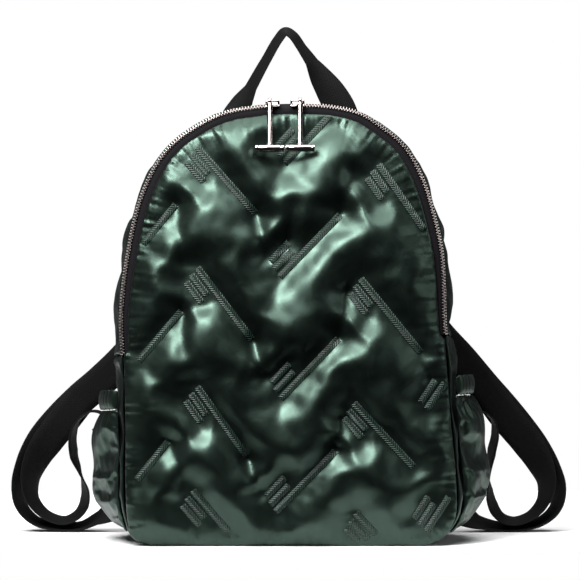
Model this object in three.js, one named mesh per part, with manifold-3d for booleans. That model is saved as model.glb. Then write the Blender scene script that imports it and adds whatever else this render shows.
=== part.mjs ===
// Quilted puffer backpack, standing on its base with both shoulder straps lying in loops at its sides.
// Millimetres, +Z up, the quilted front faces -Y, +X is to the right seen from the front.
// The origin is on the floor, under the middle of the base.

import * as THREE from 'three';
import { mergeVertices } from 'three/addons/utils/BufferGeometryUtils.js';
import Module from 'manifold-3d';

const wasm = await Module();
wasm.setup();

// Driving dimensions of the body
const FRONT_WIDTH = 292; // front panel between the side seams, low down
const CROWN_HEIGHT = 389; // floor to the zip line at the crown
const BACK_HEIGHT = 372; // floor to the top seam of the back panel
const BASE_DEPTH = 132; // front seam to back seam at the base
const CROWN_DEPTH = 112; // front seam to back seam at the crown
const BACK_TAPER = 0.97; // width of the back panel over the front panel's
const SEAM_GAP = 0.3; // clearance left between pieces that are sewn together

// Padding and cloth
const FRONT_PUFF = 16; // rise of the front panel next to its seam
const PUFF_RUN = 18; // distance from the seam over which most of that rise happens
const BELLY = 12; // further rise in the middle of the front panel
const FRONT_PAD = 12; // thickness of the filled front panel
const SEAM_EDGE = 3; // thickness of a filled panel where it is sewn flat
const BACK_PAD = 8; // thickness of the filled back panel
const CLOTH = 2.5; // thickness of the lightly filled side, base and pocket walls
const GUSSET_BULGE = 9; // how far the side walls stand out between their seams
const GUSSET_RUFFLE = 1.8; // height of the soft waves along the gusset
const RUFFLE_RUN = 9; // length along the seam over which a wave turns by one radian
const WALL_LEDGE = 1.5; // step of the side walls out over the seam line

// Quilting of the front panel: slanted stitched bars in herringbone columns
const QUILT_PITCH = 103; // from one bar to the next up a column
const BAR_LENGTH = 80;
const BAR_SLANT = 48; // degrees from level
const BAR_DEPTH = 8; // depth of the valley that a bar draws into the padding
const BAR_SPREAD = 12; // half width of that valley
const EDGE_GATHER = 2; // height of the gathers along the front seam
const GATHER_AT = 14; // distance from the seam to the middle of the gathers
const GATHER_RUN = 10; // half width of the gathered strip

// Zip
const ZIP_END_LEFT = 168; // height of the zip's left end
const ZIP_END_RIGHT = 186; // height of its right end
const ZIP_MEETS_X = -4.3; // the two sliders meet here on the crown
const TAPE_WIDTH = 8.5; // tape showing in front of the teeth
const TAPE_REAR = 6; // tape behind the teeth
const TAPE_THICK = 1.2;
const CHAIN_WIDTH = 4.8; // across the closed teeth
const CHAIN_THICK = 2.4;
const CHAIN_TILT = 35; // degrees that the teeth face upwards and outwards from the front

// Sliders and their T-bar pulls
const SLIDER_LENGTH = 12.6;
const SLIDER_WIDTH = 7.4;
const SLIDER_PLATE = 1.3;
const BAIL_BAR = 1.8; // thickness of the bail
const BAIL_HEIGHT = 3.8; // plate to the middle of the bail's bar
const BAIL_INSET = 0.2; // bail's outer side to the slider's end
const BAIL_CORNER = 2.2; // rounding of the bail's shoulders
const BAIL_CLEAR = 0.4; // play of the pull's eye on the bail
const EYE_WALL = 1.3;
const EYE_WIDTH = 3.2;
const ROD_RADIUS = 2.4;
const PULL_DROP = 46; // middle of the bail's bar to the middle of the T-bar
const TEE_LENGTH = 25.4;
const TEE_GAP = 1.2; // between the two T-bars
const TEE_RADIUS = 3;
const TEE_GROOVE = 0.5; // depth of the ring grooves near the T-bar's ends
const TEE_RING = 3; // middle of a ring groove to the T-bar's end
const TEE_RING_HALF = 0.4; // half width of a ring groove
const TEE_CHAMFER = 0.6; // chamfer of the T-bar's ends
const PULL_REST_GAP = 0.5; // T-bar to the front panel where it hangs against it

// Side pockets
const POCKET_FOOT = 12; // height of a pocket's bottom seam
const POCKET_PUFF = 18; // how far a pocket stands off the side wall
const POCKET_EDGE = 0.6; // clearance of a pocket's sewn edge to the side wall
const POCKET_SEAMS = [0.07, 0.93]; // its front and back seam, shares of the side wall's depth
const POCKET_COLUMNS = 14; // stretches of a pocket between its seams, one fold to every two
const POCKET_GATHER = 1.3; // height of the gathers below the elastic
const BAND_HEIGHT = 18; // height of the gathered elastic band
const BAND_THICK = 5.5;
const BAND_GATHER = 0.16; // share by which the band is drawn in at its gathers
const BAND_SIDES = 8; // corners of the band's section
const MOUTH_HEIGHT = { left: 138, right: 150 }; // top of each band

// Webbing
const WEB_WIDTH = 30;
const WEB_THICK = 1.5;
const HANDLE_SPAN = 96; // between the middles of the handle's feet
const HANDLE_RISE = 99; // peak of the handle over the back panel's top
const STRAP_REACH = 254; // outermost point of a shoulder strap from the middle
const STRAP_RISE = 350; // top end of a shoulder strap over the floor
const STRAP_STANDOFF = 15; // how far the straps hang behind the back panel
const LAYER_GAP = 0.5; // between a strap and the tail lying on it
const SLIDE_WALL = 2.2; // wall of the strap slide
const SLIDE_LENGTH = 14;
const SLIDE_PLAY = 0.4; // play of the webbing in the slide

// Fineness
const RIM_STEPS = 72; // along the seam from one bottom corner over the crown to the other
const FLOOR_STEPS = 10; // along the straight bottom seam

// Seam line of the front panel seen from the front.
// h is a share of CROWN_HEIGHT, left and right are shares of half of FRONT_WIDTH.
const SEAM_ROWS = [
  { h: 0.0, left: 0.84, right: 0.83 },
  { h: 0.018, left: 0.955, right: 0.925 },
  { h: 0.06, left: 0.987, right: 1.0 },
  { h: 0.14, left: 0.998, right: 1.008 },
  { h: 0.28, left: 1.0, right: 0.978 },
  { h: 0.43, left: 1.01, right: 0.948 },
  { h: 0.51, left: 1.02, right: 0.934 },
  { h: 0.6, left: 1.003, right: 0.928 },
  { h: 0.67, left: 0.975, right: 0.915 },
  { h: 0.74, left: 0.938, right: 0.876 },
  { h: 0.8, left: 0.89, right: 0.832 },
  { h: 0.86, left: 0.815, right: 0.768 },
  { h: 0.91, left: 0.713, right: 0.683 },
  { h: 0.95, left: 0.57, right: 0.555 },
  { h: 0.98, left: 0.41, right: 0.43 },
  { h: 0.996, left: 0.19, right: 0.25 },
];
const CROWN_SHIFT = 0.04; // crown to the right of the middle, a share of the half width

// Columns of quilting bars. x is the bar's foot from the middle as a share of the half width,
// z is the first foot as a share of the pitch, lean is +1 for a bar that rises to the right,
// reach is a share of BAR_LENGTH.
const QUILT_COLUMNS = [
  { x: -0.93, z: 0.56, lean: 1, reach: 0.6 },
  { x: -0.23, z: -0.24, lean: -1, reach: 1 },
  { x: -0.06, z: 0.29, lean: 1, reach: 1 },
  { x: 0.78, z: -0.33, lean: -1, reach: 1 },
  { x: 0.78, z: 0.12, lean: 1, reach: 0.5 },
];

// How far a pocket stands off from its foot (rise 0) to its mouth (rise 1), a share of POCKET_PUFF.
const POCKET_PROFILE = [
  { rise: 0.0, off: 0.02 },
  { rise: 0.1, off: 0.48 },
  { rise: 0.25, off: 0.86 },
  { rise: 0.45, off: 1.0 },
  { rise: 0.7, off: 0.96 },
  { rise: 0.88, off: 0.82 },
  { rise: 1.0, off: 0.76 },
];

// Top handle from its left foot to its right one. x is a share of half of HANDLE_SPAN,
// z is a share of HANDLE_RISE over the back panel's top, turn is the webbing's twist in degrees.
const HANDLE_ROWS = [
  { x: -1.06, z: -0.16, turn: 0 },
  { x: -1.06, z: -0.03, turn: 0 },
  { x: -1.05, z: 0.1, turn: 8 },
  { x: -0.97, z: 0.24, turn: 42 },
  { x: -0.76, z: 0.42, turn: 68 },
  { x: -0.44, z: 0.7, turn: 72 },
  { x: -0.22, z: 0.88, turn: 72 },
  { x: -0.09, z: 0.95, turn: 72 },
  { x: 0.05, z: 0.915, turn: 72 },
  { x: 0.22, z: 0.8, turn: 72 },
  { x: 0.42, z: 0.66, turn: 66 },
  { x: 0.6, z: 0.52, turn: 44 },
  { x: 0.79, z: 0.38, turn: 26 },
  { x: 0.97, z: 0.22, turn: 12 },
  { x: 1.05, z: 0.08, turn: 2 },
  { x: 1.06, z: -0.03, turn: 0 },
  { x: 1.06, z: -0.16, turn: 0 },
];

// Shoulder straps from the top of the back panel, out past the side and back to the bottom corner.
// x and z are shares of STRAP_REACH and STRAP_RISE on the right and on the left side,
// off is a share of STRAP_STANDOFF behind the back panel, turn is the twist in degrees.
const STRAP_ROWS = [
  { right: [0.157, 1.0], left: [0.157, 1.0], off: 0, turn: 0 },
  { right: [0.184, 0.949], left: [0.184, 0.949], off: 0, turn: 0 },
  { right: [0.26, 0.851], left: [0.262, 0.845], off: 0.22, turn: 0 },
  { right: [0.354, 0.731], left: [0.362, 0.712], off: 0.45, turn: 0 },
  { right: [0.457, 0.611], left: [0.482, 0.576], off: 0.7, turn: 0 },
  { right: [0.545, 0.526], left: [0.598, 0.47], off: 0.85, turn: 0 },
  { right: [0.63, 0.459], left: [0.692, 0.403], off: 0.95, turn: 0 },
  { right: [0.709, 0.391], left: [0.772, 0.353], off: 1.0, turn: -2 },
  { right: [0.795, 0.32], left: [0.843, 0.302], off: 1.0, turn: -8 },
  { right: [0.89, 0.234], left: [0.912, 0.244], off: 1.0, turn: -22 },
  { right: [0.948, 0.171], left: [0.961, 0.184], off: 1.0, turn: -42 },
  { right: [0.985, 0.115], left: [0.994, 0.122], off: 0.95, turn: -64 },
  { right: [0.977, 0.062], left: [0.99, 0.068], off: 0.95, turn: -76 },
  { right: [0.924, 0.026], left: [0.936, 0.027], off: 0.95, turn: -80 },
  { right: [0.854, 0.0125], left: [0.85, 0.0125], off: 0.9, turn: -80 },
  { right: [0.774, 0.0125], left: [0.77, 0.0145], off: 0.85, turn: -79 },
  { right: [0.7, 0.024], left: [0.706, 0.036], off: 0.75, turn: -72 },
  { right: [0.638, 0.048], left: [0.645, 0.062], off: 0.5, turn: -45 },
  { right: [0.578, 0.074], left: [0.582, 0.084], off: 0.18, turn: -12 },
  { right: [0.53, 0.092], left: [0.53, 0.1], off: 0, turn: 0 },
  { right: [0.47, 0.112], left: [0.47, 0.118], off: 0, turn: 0 },
];
const SHARED_FROM = 4; // row of STRAP_ROWS where the tail starts to lie on the strap
const SHARED_TO = 7; // row where it starts to leave it

// Tail of each strap after it leaves the strap: down round the loop, up beside the pocket and behind it.
// The columns are those of STRAP_ROWS.
const TAIL_ROWS = [
  { right: [0.786, 0.312], left: [0.834, 0.294], off: 0.74, turn: -8 },
  { right: [0.872, 0.236], left: [0.888, 0.242], off: 0.68, turn: -20 },
  { right: [0.918, 0.183], left: [0.928, 0.196], off: 0.7, turn: -38 },
  { right: [0.943, 0.128], left: [0.955, 0.136], off: 0.76, turn: -60 },
  { right: [0.93, 0.078], left: [0.945, 0.082], off: 0.85, turn: -74 },
  { right: [0.886, 0.042], left: [0.9, 0.045], off: 0.87, turn: -80 },
  { right: [0.83, 0.0265], left: [0.832, 0.028], off: 0.87, turn: -80 },
  { right: [0.783, 0.034], left: [0.785, 0.043], off: 0.85, turn: -76 },
  { right: [0.75, 0.062], left: [0.757, 0.075], off: 0.75, turn: -70 },
  { right: [0.733, 0.1], left: [0.752, 0.114], off: 0.6, turn: -74 },
  { right: [0.727, 0.15], left: [0.77, 0.162], off: 0.35, turn: -90 },
  { right: [0.738, 0.213], left: [0.791, 0.208], off: 0.08, turn: -100 },
  { right: [0.751, 0.262], left: [0.795, 0.258], off: -0.08, turn: -98 },
  { right: [0.742, 0.299], left: [0.772, 0.3], off: -0.14, turn: -92 },
  { right: [0.705, 0.32], left: [0.725, 0.322], off: -0.14, turn: -90 },
  { right: [0.668, 0.314], left: [0.684, 0.314], off: -0.14, turn: -90 },
  { right: [0.65, 0.297], left: [0.672, 0.298], off: -0.14, turn: -90 },
  { right: [0.655, 0.279], left: [0.688, 0.283], off: -0.14, turn: -90 },
  { right: [0.672, 0.268], left: [0.72, 0.274], off: -0.14, turn: -90 },
];

// Worked-out places
const halfWidth = FRONT_WIDTH / 2;
const frontSeamY = -BASE_DEPTH / 2 - SEAM_EDGE / 2;
const backSeamY = BASE_DEPTH / 2;
const backFaceY = backSeamY + SEAM_GAP + BACK_PAD;
const V = (x, y, z) => new THREE.Vector3(x, y, z);
const clamp = THREE.MathUtils.clamp;
const lerp = THREE.MathUtils.lerp;
const rad = THREE.MathUtils.degToRad;

// Depth of the front seam at height z: the bag gets shallower towards the crown
function seamY(z) {
  const share = clamp(z / CROWN_HEIGHT, 0, 1);
  return frontSeamY + (BASE_DEPTH - CROWN_DEPTH) * share ** 1.6;
}

// A closed solid from corner points and triangles, turned so that its faces point out
function solid(points, faces) {
  let volume = 0;
  for (const [a, b, c] of faces) {
    volume += points[a].dot(points[b].clone().cross(points[c]));
  }
  const turned = volume < 0 ? faces.map(([a, b, c]) => [a, c, b]) : faces;
  const geometry = new THREE.BufferGeometry();
  geometry.setAttribute('position', new THREE.Float32BufferAttribute(points.flatMap((p) => [p.x, p.y, p.z]), 3));
  geometry.setIndex(turned.flat());
  geometry.computeVertexNormals();
  return geometry;
}

// Solid through rings of equally many points, closed by a fan at each end
function loft(rings) {
  const count = rings[0].length;
  const points = rings.flat();
  const faces = [];
  for (let r = 0; r + 1 < rings.length; r += 1) {
    for (let k = 0; k < count; k += 1) {
      const a = r * count + k;
      const b = r * count + ((k + 1) % count);
      faces.push([a, b, b + count], [a, b + count, a + count]);
    }
  }
  for (const [r, flip] of [[0, true], [rings.length - 1, false]]) {
    for (let k = 1; k + 1 < count; k += 1) {
      const fan = [r * count, r * count + k, r * count + k + 1];
      faces.push(flip ? [fan[0], fan[2], fan[1]] : fan);
    }
  }
  return solid(points, faces);
}

// Thick sheet between two grids of points with the same rows and columns
function sheet(outer, inner) {
  const rows = outer.length;
  const cols = outer[0].length;
  const points = [...outer.flat(), ...inner.flat()];
  const under = rows * cols;
  const faces = [];
  for (let r = 0; r + 1 < rows; r += 1) {
    for (let c = 0; c + 1 < cols; c += 1) {
      const a = r * cols + c;
      faces.push([a, a + 1, a + cols + 1], [a, a + cols + 1, a + cols]);
      faces.push([under + a, under + a + cols + 1, under + a + 1]);
      faces.push([under + a, under + a + cols, under + a + cols + 1]);
    }
  }
  const rim = [];
  for (let c = 0; c + 1 < cols; c += 1) rim.push(c);
  for (let r = 0; r + 1 < rows; r += 1) rim.push(r * cols + cols - 1);
  for (let c = cols - 1; c > 0; c -= 1) rim.push((rows - 1) * cols + c);
  for (let r = rows - 1; r > 0; r -= 1) rim.push(r * cols);
  rim.forEach((a, k) => {
    const b = rim[(k + 1) % rim.length];
    faces.push([a, under + b, b], [a, under + a, under + b]);
  });
  return solid(points, faces);
}

// Cushion between two stacks of rings that shrink from the same rim to a middle point each
function cushion(outerRings, outerMiddle, innerRings, innerMiddle) {
  const count = outerRings[0].length;
  const points = [];
  const faces = [];
  const stack = (rings, middle, flip) => {
    const start = points.length;
    points.push(...rings.flat(), middle);
    const last = start + (rings.length - 1) * count;
    const put = (a, b, c) => faces.push(flip ? [a, c, b] : [a, b, c]);
    for (let k = 0; k < count; k += 1) {
      const n = (k + 1) % count;
      for (let r = start; r < last; r += count) {
        put(r + k, r + n, r + count + n);
        put(r + k, r + count + n, r + count + k);
      }
      put(last + k, last + n, points.length - 1);
    }
    return start;
  };
  const top = stack(outerRings, outerMiddle, false);
  const bottom = stack(innerRings, innerMiddle, true);
  for (let k = 0; k < count; k += 1) {
    const n = (k + 1) % count;
    faces.push([top + k, bottom + n, top + n], [top + k, bottom + k, bottom + n]);
  }
  return solid(points, faces);
}

// Seam line over the crown, from the bottom left corner to the bottom right one
const seamPoint = (row, side) => V(side * row[side < 0 ? 'left' : 'right'] * halfWidth, 0, row.h * CROWN_HEIGHT);
const rim = new THREE.CatmullRomCurve3(
  [
    ...SEAM_ROWS.map((row) => seamPoint(row, -1)),
    V(CROWN_SHIFT * halfWidth, 0, CROWN_HEIGHT),
    ...SEAM_ROWS.toReversed().map((row) => seamPoint(row, 1)),
  ],
  false,
  'centripetal',
);
rim.arcLengthDivisions = 800;
const rimLength = rim.getLength();

// Point of the seam line and its outward direction, both in the plane of the front
function rimAt(u) {
  const at = clamp(u, 0, 1);
  const point = rim.getPointAt(at);
  const along = rim.getTangentAt(at);
  return { point, out: V(-along.z, 0, along.x).normalize() };
}

// Share of the seam line at a height on one side, found by halving
function rimShare(height, side) {
  let low = side < 0 ? 0 : 1;
  let high = 0.5;
  for (let k = 0; k < 40; k += 1) {
    const middle = (low + high) / 2;
    if (rim.getPointAt(middle).z < height) low = middle;
    else high = middle;
  }
  return (low + high) / 2;
}
const zipFrom = rimShare(ZIP_END_LEFT, -1);
const zipTo = rimShare(ZIP_END_RIGHT, 1);

// Width of the tape in front of the teeth, narrower towards the zip's ends and none past them
function tapeWidth(u) {
  if (u < zipFrom || u > zipTo) return 0;
  const run = Math.min(u - zipFrom, zipTo - u) * rimLength;
  return TAPE_WIDTH * lerp(0.42, 1, THREE.MathUtils.smoothstep(run, 0, TAPE_WIDTH * 12));
}

// Half extents of the tilted chain across and along the front
const tilt = rad(CHAIN_TILT);
const chainReach = (CHAIN_WIDTH / 2) * Math.cos(tilt) + (CHAIN_THICK / 2) * Math.sin(tilt);
const chainDepth = (CHAIN_WIDTH / 2) * Math.sin(tilt) + (CHAIN_THICK / 2) * Math.cos(tilt);

// Depth of the stitched valleys at a place on the front panel
const bars = QUILT_COLUMNS.flatMap((column) => {
  const run = BAR_LENGTH * column.reach * Math.cos(rad(BAR_SLANT));
  const rise = BAR_LENGTH * column.reach * Math.sin(rad(BAR_SLANT));
  const first = column.z * QUILT_PITCH;
  const repeats = Math.ceil((CROWN_HEIGHT - first) / QUILT_PITCH);
  return Array.from({ length: repeats }, (_, k) => {
    const foot = V(column.x * halfWidth, 0, first + k * QUILT_PITCH);
    return new THREE.Line3(foot, foot.clone().add(V(column.lean * run, 0, rise)));
  });
});
const nearest = V(0, 0, 0);
function valley(x, z) {
  const place = V(x, 0, z);
  const depths = bars.map((bar) => {
    const away = bar.closestPointToPoint(place, true, nearest).distanceTo(place);
    return BAR_DEPTH * Math.exp(-((away / BAR_SPREAD) ** 2));
  });
  return Math.max(...depths);
}

// Rim of the front panel: inside the tape where the zip runs, at the seam elsewhere
const panelMiddle = V(0, 0, CROWN_HEIGHT * 0.47);
const stepsFor = (share) => Math.max(4, Math.round(RIM_STEPS * share));
const ZIP_STEPS = stepsFor(zipTo - zipFrom);
const spread = (from, to, steps) => Array.from({ length: steps }, (_, k) => lerp(from, to, k / steps));
const rimShares = [
  ...spread(0, zipFrom, stepsFor(zipFrom)),
  ...spread(zipFrom, zipTo, ZIP_STEPS),
  ...spread(zipTo, 1, stepsFor(1 - zipTo)),
  1,
];
const panelRim = rimShares.map((u) => {
  const { point, out } = rimAt(u);
  const width = tapeWidth(u);
  const inset = width > 0 ? chainReach + width + 2 * SEAM_GAP : SEAM_GAP;
  return point.clone().addScaledVector(out, -inset);
});
const cornerRight = panelRim.at(-1);
const cornerLeft = panelRim[0];
for (let k = 1; k < FLOOR_STEPS; k += 1) {
  panelRim.push(cornerRight.clone().lerp(cornerLeft, k / FLOOR_STEPS).setZ(SEAM_GAP));
}

// Height of the padding over the seam plane without its quilting; edge is the distance to the rim
function puff(edge, z) {
  const share = clamp(z / CROWN_HEIGHT, 0, 1);
  const belly = BELLY * Math.sin(Math.PI * share ** 0.75) * (1 - Math.exp(-edge / (3 * PUFF_RUN)));
  return FRONT_PUFF * (1 - Math.exp(-edge / PUFF_RUN)) + belly;
}

// Outer face of the front panel above a place of its plane
function frontY(place, edge, gather) {
  const quilted = puff(edge, place.z) - valley(place.x, place.z) * (1 - Math.exp(-edge / PUFF_RUN));
  return seamY(place.z) - SEAM_EDGE / 2 - Math.max(quilted, 0) - gather;
}

function frontPanel() {
  const outerShares = [
    1, 0.965, 0.92, 0.86, 0.795, 0.73, 0.665, 0.6, 0.535, 0.47, 0.405, 0.34, 0.275, 0.21, 0.145, 0.08,
  ];
  const innerShares = [1, 0.85, 0.45];
  const place = (share, k) => panelMiddle.clone().lerp(panelRim[k], share);
  const edge = (share, k) => (1 - share) * panelRim[k].distanceTo(panelMiddle);
  const outer = outerShares.map((share) => panelRim.map((_, k) => {
    const p = place(share, k);
    const away = edge(share, k);
    const wave = Math.sin(k * Math.PI * 0.5) * Math.exp(-(((away - GATHER_AT) / GATHER_RUN) ** 2));
    return p.setY(frontY(p, away, EDGE_GATHER * wave));
  }));
  const inner = innerShares.map((share) => panelRim.map((_, k) => {
    const p = place(share, k);
    const rise = puff(edge(share, k), p.z);
    const hollow = rise * (1 - FRONT_PAD / (FRONT_PUFF + BELLY));
    return p.setY(seamY(p.z) + SEAM_EDGE / 2 - Math.max(hollow - SEAM_EDGE, 0));
  }));
  const far = panelMiddle.distanceTo(panelRim[0]);
  const middleOut = panelMiddle.clone().setY(frontY(panelMiddle, far, 0));
  const middleIn = panelMiddle.clone().setY(inner.at(-1)[0].y);
  return cushion(outer, middleOut, inner, middleIn);
}

// Place on the side wall: u along the seam line, v from the front seam (0) to the back seam (1),
// off is the distance outwards from the wall's outer face
function wallPoint(u, v, off, frontStart) {
  const { point, out } = rimAt(u);
  const front = point.clone().setY(seamY(point.z) + frontStart);
  const back = V(point.x * BACK_TAPER, backSeamY, (point.z * BACK_HEIGHT) / CROWN_HEIGHT);
  const sideways = clamp(Math.abs(point.x) / (0.55 * halfWidth), 0, 1);
  const low = THREE.MathUtils.smoothstep(point.z, 0, CROWN_HEIGHT * 0.12);
  const bulge = GUSSET_BULGE * lerp(0.15, 1, sideways) * low * Math.sin(Math.PI * v) ** 0.8;
  const wave = Math.sin((u * rimLength) / RUFFLE_RUN + 4 * v) * Math.sin(Math.PI * v) * low;
  const rise = WALL_LEDGE * low + bulge + GUSSET_RUFFLE * wave + off;
  return front.lerp(back, v).addScaledVector(out, rise);
}

function wall(from, to, steps, frontStart) {
  const across = [0, POCKET_SEAMS[0], 0.2, 0.36, 0.52, 0.68, 0.82, POCKET_SEAMS[1], 1];
  const grid = (off) => Array.from({ length: steps + 1 }, (_, k) =>
    across.map((v) => wallPoint(lerp(from, to, k / steps), v, off, frontStart)));
  return sheet(grid(0), grid(-CLOTH));
}

// Flat base between the bottom seams, as wide as the side walls leave it
function basePanel() {
  const outline = new THREE.Shape();
  const ends = [0, 1].map((u) => {
    const { point, out } = rimAt(u);
    return point.x - CLOTH * out.x + (u > 0 ? -SEAM_GAP : SEAM_GAP);
  });
  const front = frontSeamY + SEAM_EDGE / 2 + SEAM_GAP;
  outline.moveTo(ends[0], front);
  outline.lineTo(ends[1], front);
  outline.lineTo(ends[1] * BACK_TAPER, backSeamY);
  outline.lineTo(ends[0] * BACK_TAPER, backSeamY);
  outline.closePath();
  return new THREE.ExtrudeGeometry(outline, { depth: CLOTH, bevelEnabled: false });
}

// Padded back panel behind the back seam, with a flat outer face
function backPanel() {
  const low = [];
  for (let k = 1; k < FLOOR_STEPS; k += 1) low.push(rimAt(1).point.clone().lerp(rimAt(0).point, k / FLOOR_STEPS));
  const line = [...rimShares.map((u) => rimAt(u).point.clone()), ...low];
  const flat = line.map((p) => V(p.x * BACK_TAPER, 0, (p.z * BACK_HEIGHT) / CROWN_HEIGHT));
  const middle = V(0, 0, BACK_HEIGHT * 0.47);
  const ring = (share, y) => flat.map((p) => middle.clone().lerp(p, share).setY(y));
  const near = backSeamY + SEAM_GAP;
  const outer = [ring(1, near + SEAM_EDGE), ring(0.955, near + BACK_PAD)];
  const inner = [ring(1, near), ring(0.5, near)];
  return cushion(outer, middle.clone().setY(near + BACK_PAD), inner, middle.clone().setY(near));
}

// A strip swept along part of the seam line; corners are pairs of distances outwards and forwards
function trim(from, to, steps, corners) {
  const rings = Array.from({ length: steps + 1 }, (_, k) => {
    const u = lerp(from, to, k / steps);
    const { point, out } = rimAt(u);
    return corners(u).map(([outwards, forwards]) => {
      const p = point.clone().addScaledVector(out, outwards);
      return p.setY(seamY(point.z) - forwards);
    });
  });
  return loft(rings);
}

const tapeFront = (u) => {
  const start = -chainReach - SEAM_GAP;
  const end = start - tapeWidth(u);
  return [[end, -TAPE_THICK / 2], [start, -TAPE_THICK / 2], [start, TAPE_THICK / 2], [end, TAPE_THICK / 2]];
};
const rearStart = -chainDepth - SEAM_GAP;
const tapeRear = () => {
  const end = rearStart - TAPE_REAR;
  const low = WALL_LEDGE - TAPE_THICK;
  return [[low, end], [WALL_LEDGE, end], [WALL_LEDGE, rearStart], [low, rearStart]];
};
const chainSection = () => [[-1, -1], [1, -1], [1, 1], [-1, 1]].map(([a, b]) => {
  const across = (a * CHAIN_WIDTH) / 2;
  const up = (b * CHAIN_THICK) / 2;
  return [across * Math.cos(tilt) + up * Math.sin(tilt), up * Math.cos(tilt) - across * Math.sin(tilt)];
});

// Side pocket: a puffed cloth wall open at the top, and its gathered elastic band
function pocketSpread(v) {
  const share = (v - POCKET_SEAMS[0]) / (POCKET_SEAMS[1] - POCKET_SEAMS[0]);
  return Math.max(Math.sin(Math.PI * clamp(share, 0, 1)), 0) ** 0.6;
}
function pocketOff(rise, v) {
  const rows = POCKET_PROFILE;
  const k = clamp(rows.findIndex((row) => row.rise >= rise), 1, rows.length - 1);
  const share = (rise - rows[k - 1].rise) / (rows[k].rise - rows[k - 1].rise);
  return POCKET_EDGE + POCKET_PUFF * lerp(rows[k - 1].off, rows[k].off, share) * pocketSpread(v);
}
const sideStart = SEAM_EDGE / 2 + SEAM_GAP;
const pocketColumns = Array.from({ length: POCKET_COLUMNS + 1 }, (_, k) =>
  lerp(...POCKET_SEAMS, k / POCKET_COLUMNS));

function pocket(side) {
  const mouth = MOUTH_HEIGHT[side < 0 ? 'left' : 'right'] - BAND_HEIGHT - SEAM_GAP;
  const rises = [0, 0.08, 0.18, 0.3, 0.43, 0.56, 0.68, 0.79, 0.9, 1];
  const grid = (extra) => rises.map((rise) => {
    const u = rimShare(lerp(POCKET_FOOT, mouth, rise), side);
    return pocketColumns.map((v, k) => {
      const fold = POCKET_GATHER * (k % 2) * rise ** 2 * pocketSpread(v);
      return wallPoint(u, v, pocketOff(rise, v) + fold + extra, sideStart);
    });
  });
  return sheet(grid(CLOTH), grid(0));
}

function pocketBand(side) {
  const top = MOUTH_HEIGHT[side < 0 ? 'left' : 'right'];
  const u = rimShare(top - BAND_HEIGHT / 2, side);
  const { out } = rimAt(u);
  const half = BAND_THICK / 2;
  const rings = pocketColumns.map((v, k) => {
    const gather = 1 - BAND_GATHER * (k % 2);
    const middle = wallPoint(u, v, pocketOff(1, v) + half, sideStart);
    return Array.from({ length: BAND_SIDES }, (_, c) => {
      const angle = ((c + 0.5) / BAND_SIDES) * 2 * Math.PI;
      const up = (Math.sin(angle) * BAND_HEIGHT * gather) / 2;
      return middle.clone().addScaledVector(out, Math.cos(angle) * half * gather).add(V(0, 0, up));
    });
  });
  return loft(rings);
}

// Webbing along a line of places, each with its twist about the line; a twist of 0 faces the front
function webbing(stations) {
  const rings = stations.map(({ at }, k) => {
    const before = stations[Math.max(k - 1, 0)].at;
    const after = stations[Math.min(k + 1, stations.length - 1)].at;
    const { across, face } = webFrame(after.clone().sub(before), stations[k].turn);
    const corner = (a, b) => at.clone()
      .addScaledVector(across, (a * WEB_WIDTH) / 2)
      .addScaledVector(face, (b * WEB_THICK) / 2);
    return [corner(-1, -1), corner(1, -1), corner(1, 1), corner(-1, 1)];
  });
  return loft(rings);
}

function webFrame(along, turn) {
  const ahead = along.clone().normalize();
  const front = V(0, -1, 0);
  front.addScaledVector(ahead, -front.dot(ahead)).normalize();
  const level = ahead.clone().cross(front);
  const sine = Math.sin(rad(turn));
  const cosine = Math.cos(rad(turn));
  const across = level.clone().multiplyScalar(cosine).addScaledVector(front, sine);
  const face = front.clone().multiplyScalar(cosine).addScaledVector(level, -sine);
  return { across, face };
}

// Places between rows of points and twists, a few to each row
function stationsThrough(points, turns, perRow) {
  const curve = new THREE.CatmullRomCurve3(points, false, 'centripetal');
  const count = (points.length - 1) * perRow;
  return Array.from({ length: count + 1 }, (_, k) => {
    const row = Math.min(Math.floor(k / perRow), points.length - 2);
    const share = k / perRow - row;
    return { at: curve.getPoint(k / count), turn: lerp(turns[row], turns[row + 1], share) };
  });
}

const webBackY = backFaceY + SEAM_GAP + WEB_THICK / 2;

function handleStations() {
  const points = HANDLE_ROWS.map((row) =>
    V((row.x * HANDLE_SPAN) / 2, webBackY, BACK_HEIGHT + row.z * HANDLE_RISE));
  return stationsThrough(points, HANDLE_ROWS.map((row) => row.turn), 2);
}

function strapRoute(rows, side, perRow, lead = []) {
  const key = side < 0 ? 'left' : 'right';
  const points = rows.map((row) =>
    V(row[key][0] * STRAP_REACH, webBackY + row.off * STRAP_STANDOFF, row[key][1] * STRAP_RISE));
  const turns = rows.map((row) => row.turn);
  if (lead.length > 0) {
    points.unshift(lead.at(-1).at);
    turns.unshift(lead.at(-1).turn);
  }
  return [...lead.slice(0, -1), ...stationsThrough(points, turns, perRow)];
}

const STRAP_PER_ROW = 2;
const layerStep = WEB_THICK + LAYER_GAP;
function tailLead(strap) {
  return strap.slice(SHARED_FROM * STRAP_PER_ROW, SHARED_TO * STRAP_PER_ROW + 1).map(({ at, turn }) => ({
    at: at.clone().add(V(0, -layerStep, 0)),
    turn,
  }));
}

// A route on the left side is worked out as on the right and then mirrored
function mirrored(geometry, side) {
  if (side > 0) return geometry;
  const flipped = geometry.clone().scale(-1, 1, 1);
  const index = flipped.index.array;
  for (let k = 0; k < index.length; k += 3) [index[k], index[k + 1]] = [index[k + 1], index[k]];
  flipped.computeVertexNormals();
  return flipped;
}

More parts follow.
